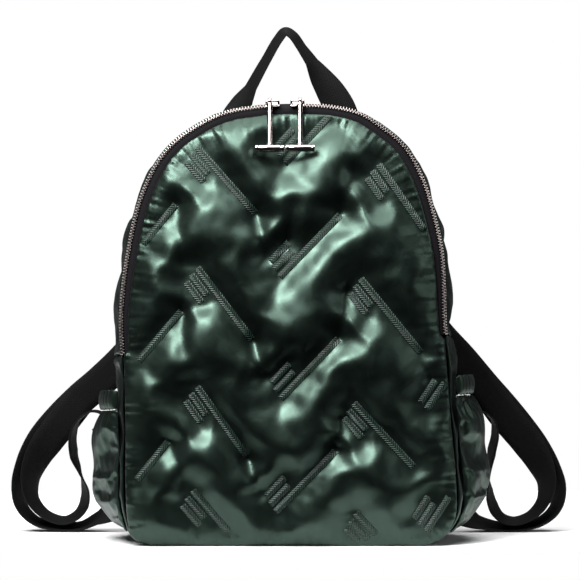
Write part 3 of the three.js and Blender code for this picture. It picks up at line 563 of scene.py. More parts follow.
@dataclass
class BagShape:
    """The bag's seam lines and walls, in millimetres."""

    front_width: float = 292.0
    crown_height: float = 389.0
    back_height: float = 372.0
    base_depth: float = 132.0
    crown_depth: float = 112.0
    back_taper: float = 0.97
    seam_edge: float = 3.0
    seam_gap: float = 0.3
    ledge: float = 1.5
    bulge: float = 9.0
    ruffle: float = 1.8
    zip_end_left: float = 168.0
    zip_end_right: float = 186.0
    tape_width: float = 8.5
    tape_rear: float = 6.0
    chain_width: float = 4.8
    chain_thick: float = 2.4
    chain_tilt: float = 35.0
    crown_shift: float = 0.04
    pocket_foot: float = 12.0
    pocket_puff: float = 18.0
    pocket_edge: float = 0.6

    # Share of the height, then shares of the half width on the left and on the right
    SEAM_ROWS = (
        (0.0, 0.84, 0.83), (0.018, 0.955, 0.925), (0.06, 0.987, 1.0), (0.14, 0.998, 1.008),
        (0.28, 1.0, 0.978), (0.43, 1.01, 0.948), (0.51, 1.02, 0.934), (0.6, 1.003, 0.928),
        (0.67, 0.975, 0.915), (0.74, 0.938, 0.876), (0.8, 0.89, 0.832), (0.86, 0.815, 0.768),
        (0.91, 0.713, 0.683), (0.95, 0.57, 0.555), (0.98, 0.41, 0.43), (0.996, 0.19, 0.25),
    )
    # Share of a pocket's height, then how far it stands off there as a share of its puff
    POCKET_ROWS = ((0.0, 0.02), (0.1, 0.48), (0.25, 0.86), (0.45, 1.0), (0.7, 0.96), (0.88, 0.82), (1.0, 0.76))
    POCKET_SEAMS = (0.07, 0.93)

    def __post_init__(self) -> None:
        """Work out the seam line once."""
        half = self.front_width / 2
        left = [(-l * half, h * self.crown_height) for h, l, _ in self.SEAM_ROWS]
        right = [(r * half, h * self.crown_height) for h, _, r in reversed(self.SEAM_ROWS)]
        line = catmull(np.array(left + [(self.crown_shift * half, self.crown_height)] + right), 60)
        steps = np.hypot(*np.diff(line, axis=0).T)
        run = np.concatenate([[0.0], np.cumsum(steps)])
        self.length = float(run[-1])
        self.shares = np.linspace(0, 1, 3001)
        self.line_x = np.interp(self.shares, run / run[-1], line[:, 0])
        self.line_z = np.interp(self.shares, run / run[-1], line[:, 1])
        self.front_y = -self.base_depth / 2 - self.seam_edge / 2
        tilt = math.radians(self.chain_tilt)
        self.chain_reach = self.chain_width / 2 * math.cos(tilt) + self.chain_thick / 2 * math.sin(tilt)
        self.chain_depth = self.chain_width / 2 * math.sin(tilt) + self.chain_thick / 2 * math.cos(tilt)
        self.zip_from = self.share_at(self.zip_end_left, -1)
        self.zip_to = self.share_at(self.zip_end_right, 1)

    def share_at(self, height: float, side: int) -> float:
        """Share of the seam line where it passes a height on one side (-1 left, 1 right)."""
        top = int(np.argmax(self.line_z))
        run = slice(0, top + 1) if side < 0 else slice(len(self.shares) - 1, top - 1, -1)
        return float(np.interp(height, self.line_z[run], self.shares[run]))

    def share_over(self, x: float) -> float:
        """Share of the seam line on the crown above an x."""
        keep = (self.shares > 0.3) & (self.shares < 0.7)
        return float(np.interp(x, self.line_x[keep], self.shares[keep]))

    def rim(self, u: np.ndarray) -> tuple:
        """Places of the seam line and their outward directions.

        Args:
            u: Shares of the seam line.

        Returns:
            x, z and the two parts of the outward direction.
        """
        u = np.clip(u, 0, 1)
        x, z = np.interp(u, self.shares, self.line_x), np.interp(u, self.shares, self.line_z)
        ahead, back = np.clip(u + 0.002, 0, 1), np.clip(u - 0.002, 0, 1)
        dx = np.interp(ahead, self.shares, self.line_x) - np.interp(back, self.shares, self.line_x)
        dz = np.interp(ahead, self.shares, self.line_z) - np.interp(back, self.shares, self.line_z)
        size = np.hypot(dx, dz)
        return x, z, -dz / size, dx / size

    def seam_y(self, z: np.ndarray) -> np.ndarray:
        """Depth of the front seam at a height."""
        return self.front_y + (self.base_depth - self.crown_depth) * np.clip(z / self.crown_height, 0, 1) ** 1.6

    def tape(self, u: np.ndarray) -> np.ndarray:
        """Width of the tape in front of the teeth, narrower towards the zip's ends and none past them."""
        run = np.minimum(u - self.zip_from, self.zip_to - u) * self.length
        width = self.tape_width * (0.42 + 0.58 * smoothstep(0, self.tape_width * 12, run))
        return np.where(run >= 0, width, 0.0)

    def wall(self, u: np.ndarray, v: np.ndarray, off: np.ndarray, start: float, ruffle: float) -> np.ndarray:
        """Places on the side wall.

        Args:
            u: Shares along the seam line.
            v: Shares from the front seam to the back seam.
            off: Distance outwards from the wall.
            start: How far behind the front seam the wall starts.
            ruffle: Height of its soft waves.

        Returns:
            The places.
        """
        x, z, ox, oz = self.rim(u)
        front = self.seam_y(z) + start
        y = front * (1 - v) + self.base_depth / 2 * v
        px = x * (1 - v) + x * self.back_taper * v
        pz = z * (1 - v) + z * self.back_height / self.crown_height * v
        sideways = np.clip(np.abs(x) / (0.55 * self.front_width / 2), 0, 1)
        low = smoothstep(0, self.crown_height * 0.12, z)
        across = np.maximum(np.sin(math.pi * v), 0)
        wave = np.sin(u * self.length / 9 + 4 * v) * across * low
        rise = self.ledge * low + self.bulge * (0.15 + 0.85 * sideways) * low * across**0.8 + ruffle * wave + off
        return np.stack([px + ox * rise, y, pz + oz * rise], axis=-1)

    def pocket_off(self, rise: np.ndarray, v: np.ndarray) -> np.ndarray:
        """How far a pocket stands off the wall at a share of its height and of the wall's depth."""
        rows = np.array(self.POCKET_ROWS)
        share = np.clip((v - self.POCKET_SEAMS[0]) / (self.POCKET_SEAMS[1] - self.POCKET_SEAMS[0]), 0, 1)
        spread = np.maximum(np.sin(math.pi * share), 0) ** 0.6
        return self.pocket_edge + self.pocket_puff * np.interp(rise, rows[:, 0], rows[:, 1]) * spread


def filled_outline(outline: np.ndarray, spacing: float) -> tuple:
    """Fill an outline with even triangles.

    Args:
        outline: Its corners in order.
        spacing: Distance of the points inside.

    Returns:
        The points as x and z, the faces, and each point's distance to the outline.
    """
    low, high = outline.min(axis=0), outline.max(axis=0)
    rows = np.arange(low[1], high[1], spacing * math.sqrt(3) / 2)
    rng = np.random.default_rng(7)
    inside = []
    for k, z in enumerate(rows):
        x = np.arange(low[0] + (k % 2) * spacing / 2, high[0], spacing)
        inside.append(np.stack([x, np.full(len(x), z)], axis=1))
    inside = np.vstack(inside)
    inside += rng.uniform(-0.12, 0.12, inside.shape) * spacing
    away = outline_distance(inside, outline)
    inside = inside[away > spacing * 0.62]
    points = np.vstack([outline, inside])
    count = len(outline)
    edges = [(k, (k + 1) % count) for k in range(count)]
    found, _, faces, _, _, _ = delaunay_2d_cdt([Vector(p) for p in points.tolist()], edges, [], 1, 1e-6)
    flat = np.array([tuple(p) for p in found])
    distance = np.maximum(outline_distance(flat, outline), 0)
    return flat, [tuple(f) for f in faces], distance


def outline_distance(points: np.ndarray, outline: np.ndarray) -> np.ndarray:
    """Distance of points to an outline, counted negative outside it."""
    after = np.roll(outline, -1, axis=0)
    best = np.full(len(points), 1e9)
    crossings = np.zeros(len(points), dtype=int)
    for (ax, az), (bx, bz) in zip(outline, after):
        best = np.minimum(best, segment_distance(points[:, 0], points[:, 1], (ax, az, bx, bz + 1e-12)))
        between = (az > points[:, 1]) != (bz > points[:, 1])
        with np.errstate(divide="ignore", invalid="ignore"):
            cross = ax + (points[:, 1] - az) * (bx - ax) / (bz - az if bz != az else 1e-12)
        crossings += between & (points[:, 0] < cross)
    return np.where(crossings % 2 == 1, best, -best)


# ---------------------------------------------------------------- front panel


@dataclass
class QuiltedFront:
    """Padded front panel with its herringbone of stitched bars."""

    shape: BagShape
    spacing: float = 4.0
    puff: float = 15.0
    puff_run: float = 17.0
    belly: float = 9.0
    valley_depth: float = 11.0
    valley_spread: float = 13.0
    crease_depth: float = 5.0
    crease_spread: float = 6.0
    pleat_height: float = 1.8
    gather_height: float = 0.9
    gather_pitch: float = 9.5
    gather_run: float = 8.0
    pleat_run: float = 20.0
    tape_shows: float = 0.5
    over_tape: float = 2.2
    bar_width: float = 6.8
    short_length: float = 25.0
    short_offsets: tuple = (8.0, 15.5)
    cloth: float = 2.2
    dent_half: float = 14.0
    dent_reach: float = 4.0
    dent_fade_side: float = 5.0
    dent_fade_up: float = 9.0
    dent_clear: float = 3.6
    dent_depth: float = 14.0

    # Long bar of each motif from its patch end to its far end (x, z, x, z), and its number of short bars
    MOTIFS = (
        (-5.3, 336, 36, 380, 2), (-9.5, 236, 44.9, 292, 2), (-8.5, 129.4, 43, 183, 2), (-13.2, 30, 40.5, 84.5, 2),
        (-82.7, 352, -29.9, 292, 2), (-81.8, 245.5, -32.6, 181, 2), (-81.8, 140.8, -37, 78.3, 2),
        (-86, 50, -54, 13, 2), (78, 337, 118.8, 278, 2), (61.6, 235.8, 115.3, 169.8, 2),
        (55.4, 126.7, 109, 69.5, 2), (57, 30, 76, 10, 2), (-130.2, 265, -100.3, 301, 0),
        (-133.8, 162, -95, 207, 0), (-135, 58, -106.5, 92.4, 0), (120, 120, 138, 146, 1), (119, 12, 140, 44, 2),
    )

    # Creases that run on from the ends of the bars (x, z, x, z)
    CREASES = (
        (-29.9, 292, -22, 255), (-32.6, 181, -24, 150), (-37, 78.3, -26, 48), (51, 225, 43, 183),
        (45.8, 113.5, 40.5, 84.5), (55.4, 330.9, 46, 294), (-100.3, 301, -94, 250), (-95, 207, -93, 170),
        (-106.5, 92.4, -94, 60), (4, 300, -4, 262), (115, 170, 122, 150), (36, 380, 58, 352),
    )

    def pleats(self, x: np.ndarray, z: np.ndarray) -> np.ndarray:
        """Height of the pleats that fan out from the ends of the long bars.

        Args:
            x: Places across the panel.
            z: Places up the panel.

        Returns:
            The height at each place, positive outwards.
        """
        total = np.zeros_like(x)
        for k, (x0, z0, x1, z1, _) in enumerate(self.MOTIFS):
            along = math.atan2(z1 - z0, x1 - x0)
            for ex, ez, turn in ((x1, z1, along), (x0, z0, along + math.pi)):
                away = np.hypot(x - ex, z - ez)
                angle = np.arctan2(z - ez, x - ex) - turn
                ahead = 0.5 + 0.5 * np.cos(angle)
                fan = np.cos(5 * angle + 0.9 * math.sin(3.7 * k + ex))
                total += fan * ahead * np.exp(-away / self.pleat_run) * smoothstep(1, 9, away)
        return self.pleat_height * total

    def bars(self) -> list:
        """List every stitched bar as x0, z0, x1, z1."""
        found = []
        for x0, z0, x1, z1, shorts in self.MOTIFS:
            found.append((x0, z0, x1, z1))
            size = math.hypot(x1 - x0, z1 - z0)
            dx, dz = (x1 - x0) / size, (z1 - z0) / size
            nx, nz = (-dz, dx) if dz > 0 else (dz, -dx)
            for k in range(shorts):
                away = self.short_offsets[k]
                lead = 1.5 + 2.5 * k
                sx, sz = x0 + nx * away + dx * lead, z0 + nz * away + dz * lead
                found.append((sx, sz, sx + dx * self.short_length, sz + dz * self.short_length))
        return found

    def outline(self) -> np.ndarray:
        """Corners of the panel's sewn edge in its plane."""
        s = self.shape
        u = np.linspace(0, 1, 260)
        x, z, ox, oz = s.rim(u)
        width = s.tape(u)
        inset = np.where(width > 0, s.chain_reach + self.tape_shows * width + s.seam_gap, s.seam_gap)
        rim = np.stack([x - ox * inset, np.maximum(z - oz * inset, s.seam_gap)], axis=1)
        floor = np.linspace(rim[-1], rim[0], 62)[1:-1]
        floor[:, 1] = s.seam_gap
        return np.vstack([rim, floor])

    def plain_rise(self, edge: np.ndarray, z: np.ndarray) -> np.ndarray:
        """Rise of the padding over the seam plane without its quilting."""
        share = np.clip(z / self.shape.crown_height, 0, 1)
        belly = self.belly * np.sin(math.pi * share**0.75) * (1 - np.exp(-edge / (3 * self.puff_run)))
        return self.puff * (1 - np.exp(-edge / self.puff_run)) + belly

    def build(self, material: bpy.types.Material) -> bpy.types.Object:
        """Build the settled panel.

        Args:
            material: Its finish.

        Returns:
            The panel.
        """
        flat, faces, edge = filled_outline(self.outline(), self.spacing)
        x, z = flat[:, 0], flat[:, 1]
        away = np.min([segment_distance(x, z, bar) for bar in self.bars()], axis=0)
        valley = self.valley_depth * np.exp(-((np.maximum(away - 2, 0) / self.valley_spread) ** 2))
        near = np.min([segment_distance(x, z, crease) for crease in self.CREASES], axis=0)
        crease = self.crease_depth * np.exp(-((near / self.crease_spread) ** 2))
        folds = self.pleats(x, z) * smoothstep(0, 8, edge) * smoothstep(2, 7, away)
        rise = self.plain_rise(edge, z) - (valley + crease) * (1 - np.exp(-edge / self.puff_run)) + folds
        proud = self.over_tape * smoothstep(self.shape.zip_end_left - 25, self.shape.zip_end_left, z)
        y = self.shape.seam_y(z) - self.shape.seam_edge / 2 - proud - np.maximum(rise, 0)
        points = np.stack([x, y, z], axis=1)
        obj = to_object("quilted_front", points, faces)
        self.face_front(obj)
        pinned = (edge < 0.4) | (away < self.bar_width / 2)
        ClothSettling(pressure=4.0, spare=0.022, bending=14.0, frames=30, cap=8.0).settle(obj, pinned)
        obj.vertex_groups.new(name="free").add(np.flatnonzero(~pinned).tolist(), 1.0, "REPLACE")
        apply_modifier(obj, "SMOOTH", factor=0.5, iterations=5, vertex_group="free")
        self.press_under_pulls(obj)
        thicken(obj, self.cloth)
        self.gather_edge(obj)
        smooth(obj, 180)
        finish_piece(obj, Body.BAG, Slot.SATIN, material, "front_panel")
        return obj

    def gather_edge(self, obj: bpy.types.Object) -> None:
        """Raise the small gathers that the edge seam draws into the padding."""
        outline = self.outline()
        run = np.concatenate([[0.0], np.cumsum(np.hypot(*np.diff(outline, axis=0).T))])
        tree = KDTree(len(outline))
        for k, (x, z) in enumerate(outline):
            tree.insert((x, 0, z), k)
        tree.balance()
        places = read_places(obj.data) / MM
        for place in places:
            _, k, away = tree.find((place[0], 0, place[2]))
            drift = noise.noise(Vector((run[k] / 21, 0, 4)))
            wave = math.cos(2 * math.pi * run[k] / self.gather_pitch + 5 * drift)
            fade = math.exp(-away / (self.gather_run * (1 + 0.6 * drift))) * min(away / 3, 1)
            place[1] -= self.gather_height * wave * fade
        write_places(obj, places * MM)

    @staticmethod
    def face_front(obj: bpy.types.Object) -> None:
        """Turn the open panel's faces to the front."""
        mesh = obj.data
        if sum(face.normal.y * face.area for face in mesh.polygons) > 0:
            mesh.flip_normals()

    def press_under_pulls(self, obj: bpy.types.Object) -> None:
        """Dent the padding where the hanging pulls lie on it."""
        places = read_places(obj.data) / MM
        for pull in PULLS:
            foot = pull.tee_middle()
            for k, (x, y, z) in enumerate(places):
                side = max(abs(x - foot.x) - self.dent_half, 0)
                up = max(foot.z - self.dent_reach - z, z - foot.z - self.dent_reach, 0)
                near = math.exp(-((side / self.dent_fade_side) ** 2) - ((up / self.dent_fade_up) ** 2))
                rest = foot.y + self.dent_clear - (1 - near) * self.dent_depth
                if near > 0.02:
                    places[k][1] = max(y, rest)
        write_places(obj, places * MM)

    def stitch(self, panel: bpy.types.Object, material: bpy.types.Material) -> bpy.types.Object:
        """Lay the embroidered bars on the panel.

        Args:
            panel: The settled panel.
            material: The thread's finish.

        Returns:
            The stitching, one piece.
        """
        graph = bpy.context.evaluated_depsgraph_get()
        tree = BVHTree.FromObject(panel, graph)
        points, faces, uv = [], [], []
        half = self.bar_width / 2
        across = np.array([-1.0, -0.86, -0.45, 0.0, 0.45, 0.86, 1.0]) * half
        lift = np.array([-0.5, 0.45, 0.7, 0.75, 0.7, 0.45, -0.5])
        for x0, z0, x1, z1 in self.bars():
            size = math.hypot(x1 - x0, z1 - z0)
            dx, dz = (x1 - x0) / size, (z1 - z0) / size
            steps = int(size / 1.5) + 1
            start = len(points)
            rows = 0
            for s in np.linspace(0, size, steps):
                row = []
                end = min(s, size - s)
                for a, up in zip(across, lift):
                    px, pz = x0 + dx * s - dz * a, z0 + dz * s + dx * a
                    hit = tree.ray_cast(Vector((px * MM, -0.3, pz * MM)), Vector((0, 1, 0)))[0]
                    if hit is None:
                        row = []
                        break
                    proud = up if end > 0.2 else -0.5
                    row.append((px, hit.y / MM - proud, pz))
                    uv.append((a, s))
                if not row:
                    del uv[len(points):]
                    continue
                points.extend(row)
                rows += 1
            if rows > 1:
                faces.extend(grid_faces(rows, len(across), start))
        obj = to_object("quilting_embroidery", np.array(points), faces, np.array(uv))
        self.face_front(obj)
        apply_modifier(obj, "SOLIDIFY", thickness=0.6 * MM, offset=-1.0)
        smooth(obj, 60)
        finish_piece(obj, Body.BAG, Slot.SATIN, material)
        return obj


# ---------------------------------------------------------------------- walls


@dataclass
class SideWalls:
    """Gusset behind the zip, side panels below its ends, base and back panel."""

    shape: BagShape
    step: float = 3.4
    cloth: float = 2.0
    back_pad: float = 8.0
    mean_depth: float = 110.0

    def wall_piece(
        self, name: str, node: str, span: tuple, start: float, columns: int, material: bpy.types.Material
    ) -> bpy.types.Object:
        """Build one stretch of the side wall.

        Args:
            name: Name of the piece.
            node: The CAD node that it replaces.
            span: First and last share of the seam line.
            start: How far behind the front seam it starts.
            columns: Points from front to back.
            material: Its finish.

        Returns:
            The piece.
        """
        s = self.shape
        rows = int((span[1] - span[0]) * s.length / self.step) + 1
        u, v = np.meshgrid(np.linspace(*span, rows), np.linspace(0, 1, columns), indexing="ij")
        to_seam = np.minimum(v, 1 - v) * self.mean_depth
        edge = np.minimum(to_seam, np.minimum(u - span[0], span[1] - u) * s.length)
        fold = np.array([
            noise.fractal(Vector((a * s.length / 26, b * 2.2, 3.1)), 1.0, 2.0, 3) for a, b in zip(u.ravel(), v.ravel())
        ]).reshape(u.shape)
        pleat = np.sin(u * s.length / 2.9 + 3 * fold) * np.exp(-to_seam / 14)
        settled = -2.5 - 3.0 * smoothstep(0.2, 0.5, u) * (1 - smoothstep(0.5, 0.75, u))
        rise = (2.2 * fold + 0.9 * pleat + settled) * smoothstep(0, 12, edge)
        points = s.wall(u, v, rise, start, s.ruffle).reshape(-1, 3)
        obj = to_object(name, points, grid_faces(rows, columns))
        self.face_out(obj)
        pinned = (edge < 0.5).ravel()
        ClothSettling(pressure=1.0, spare=0.045, bending=3.0, frames=20, cap=3.5).settle(obj, pinned)
        thicken(obj, self.cloth)
        smooth(obj, 180)
        finish_piece(obj, Body.BAG, Slot.SATIN, material, node)
        return obj

    @staticmethod
    def face_out(obj: bpy.types.Object) -> None:
        """Turn an open wall's faces away from the bag's middle."""
        middle = Vector((0, 0, 0.19))
        mesh = obj.data
        if sum(face.normal.dot(face.center - middle) * face.area for face in mesh.polygons) < 0:
            mesh.flip_normals()

    def base(self, material: bpy.types.Material) -> bpy.types.Object:
        """Build the flat base panel.

        Args:
            material: Its finish.

        Returns:
            The base.
        """
        s = self.shape
        x, _, ox, _ = s.rim(np.array([0.0, 1.0]))
        ends = [x[0] + 2.5 * abs(ox[0]) + 0.5, x[1] - 2.5 * abs(ox[1]) - 0.5]
        front = s.front_y + s.seam_edge / 2 + s.seam_gap + 0.1
        back = s.base_depth / 2
        u, v = np.meshgrid(np.linspace(0, 1, 40), np.linspace(0, 1, 24), indexing="ij")
        wide = 1 - (1 - s.back_taper) * v
        px = (ends[0] + (ends[1] - ends[0]) * u) * wide
        py = front + (back - front) * v
        edge = np.minimum(np.minimum(u, 1 - u) * 230, np.minimum(v, 1 - v) * 130)
        pz = 0.02 + 0.9 * np.exp(-edge / 3.0)
        obj = to_object("base_cloth", np.stack([px, py, pz], axis=-1).reshape(-1, 3), grid_faces(40, 24))
        if obj.data.polygons[0].normal.z > 0:
            obj.data.flip_normals()
        apply_modifier(obj, "SOLIDIFY", thickness=1.6 * MM, offset=-1.0)
        smooth(obj, 60)
        finish_piece(obj, Body.BAG, Slot.SATIN, material, "base_panel")
        return obj

    def back(self, material: bpy.types.Material) -> bpy.types.Object:
        """Build the padded back panel.

        Args:
            material: Its finish.

        Returns:
            The panel.
        """
        s = self.shape
        x, z, _, _ = s.rim(np.linspace(0, 1, 200))
        rim = np.stack([x * s.back_taper, z * s.back_height / s.crown_height], axis=1)
        floor = np.linspace(rim[-1], rim[0], 44)[1:-1]
        flat, faces, edge = filled_outline(np.vstack([rim, floor]), 6.0)
        near = s.base_depth / 2 + s.seam_gap
        thick = s.seam_edge + (self.back_pad - s.seam_edge) * (1 - np.exp(-edge / 5))
        outer = np.stack([flat[:, 0], near + thick, flat[:, 1]], axis=1)
        inner = np.stack([flat[:, 0], np.full(len(flat), near), flat[:, 1]], axis=1)
        count = len(flat)
        rim_points = [k for k in range(count) if edge[k] < 0.01]
        rim_set = set(rim_points)
        seen: dict = {}
        for face in faces:
            for a, b in zip(face, face[1:] + face[:1]):
                if a in rim_set and b in rim_set:
                    key = (min(a, b), max(a, b))
                    seen[key] = None if key in seen else (a, b)
        sides = [(pair[0], pair[1], pair[1] + count, pair[0] + count) for pair in seen.values() if pair]
        under = [tuple(k + count for k in reversed(face)) for face in faces]
        obj = to_object("padded_back", np.vstack([outer, inner]), list(faces) + under + sides)
        outward(obj)
        smooth(obj, 50)
        finish_piece(obj, Body.BAG, Slot.SATIN, material, "back_panel")
        return obj

    def build(self, material: bpy.types.Material, dark: bpy.types.Material) -> None:
        """Build all walls.

        Args:
            material: Satin of the walls.
            dark: Satin of the base and back.
        """
        s = self.shape
        gap = s.seam_gap / s.length
        behind_zip = s.chain_depth + 2 * s.seam_gap + s.tape_rear
        beside = s.seam_edge / 2 + s.seam_gap
        self.wall_piece("gusset", "zip_gusset", (s.zip_from, s.zip_to), behind_zip, 30, material)
        self.wall_piece("side_wall_left", "side_panel_left", (0.0, s.zip_from - gap), beside, 34, material)
        self.wall_piece("side_wall_right", "side_panel_right", (s.zip_to + gap, 1.0), beside, 34, material)
        self.base(dark)
        self.back(dark)


@dataclass
class SidePocket:
    """One puffed side pocket with its gathered elastic band."""

    shape: BagShape
    side: int
    mouth: float
    cloth: float = 1.6
    band_height: float = 18.0
    band_thick: float = 5.5
    gathers: int = 15
    height_guide: float = 110.0
    depth_guide: float = 130.0

    def build(self, material: bpy.types.Material) -> None:
        """Build the pocket and its band."""
        label = "left" if self.side < 0 else "right"
        self.pouch(label, material)
        self.band(label, material)

    def pouch(self, label: str, material: bpy.types.Material) -> None:
        """Build the pocket's wall.

        Args:
            label: left or right.
            material: Its finish.
        """
        s = self.shape
        top = self.mouth - self.band_height - s.seam_gap
        rows, cols = 46, 56
        rise, v = np.meshgrid(np.linspace(0, 1, rows), np.linspace(*s.POCKET_SEAMS, cols), indexing="ij")
        heights = s.pocket_foot + (top - s.pocket_foot) * np.linspace(0, 1, rows)
        shares = np.array([s.share_at(h, self.side) for h in heights])
        u = np.repeat(shares[:, None], cols, axis=1)
        pleat = 1.0 * np.sin(v * math.pi * 2 * self.gathers + 2.5 * rise) * rise**3
        pleat = pleat + 0.7 * np.sin(v * math.pi * 2 * 9 - 1.5 * rise) * (1 - rise) ** 3
        edge = np.minimum(
            np.minimum(rise, 1 - rise) * self.height_guide, np.minimum(v - v.min(), v.max() - v) * self.depth_guide
        )
        off = s.pocket_off(rise, v) + pleat * smoothstep(0, 10, edge) + self.cloth
        points = s.wall(u, v, off, s.seam_edge / 2 + s.seam_gap, s.ruffle).reshape(-1, 3)
        obj = to_object(f"pocket_{label}", points, grid_faces(rows, cols))
        SideWalls.face_out(obj)
        pinned = (edge < 0.5).ravel()
        ClothSettling(pressure=1.5, spare=0.09, bending=0.15, frames=22, cap=5.0).settle(obj, pinned)
        thicken(obj, self.cloth)
        smooth(obj, 180)
        finish_piece(obj, Body.BAG, Slot.SATIN, material, f"side_pocket_{label}")

    def band(self, label: str, material: bpy.types.Material) -> None:
        """Build the elastic band's gathered casing.

        Args:
            label: left or right.
            material: Its finish.
        """
        s = self.shape
        u = s.share_at(self.mouth - self.band_height / 2, self.side)
        _, _, ox, oz = (float(a[0]) for a in s.rim(np.array([u])))
        half = self.band_thick / 2
        stations = 190
        rings = []
        for k in range(stations):
            share = k / (stations - 1)
            v = s.POCKET_SEAMS[0] + (s.POCKET_SEAMS[1] - s.POCKET_SEAMS[0]) * share
            off = float(s.pocket_off(np.array(1.0), np.array(v))) + half
            middle = s.wall(np.array(u), np.array(v), np.array(off), s.seam_edge / 2 + s.seam_gap, s.ruffle)
            drift = noise.noise(Vector((share * 6, self.side, 0)))
            crease = abs(math.sin(share * math.pi * self.gathers + 1.2 * drift)) ** 0.6
            ring = []
            for c in range(16):
                angle = (c + 0.5) / 16 * 2 * math.pi
                ripple = 0.05 * math.sin(5 * angle + 9 * share * self.gathers + drift)
                size = 0.8 + 0.2 * crease + ripple
                up = math.sin(angle) * self.band_height * size / 2
                out = math.cos(angle) * half * size
                ring.append((middle[0] + ox * out, middle[1], middle[2] + oz * out + up))
            rings.append(ring)
        points, faces = loft(np.array(rings))
        obj = to_object(f"band_{label}", points, faces)
        outward(obj)
        apply_modifier(obj, "SUBSURF", levels=1, render_levels=1)
        smooth(obj, 180)
        finish_piece(obj, Body.BAG, Slot.SATIN, material, f"pocket_band_{label}")


# ------------------------------------------------------------------------ zip


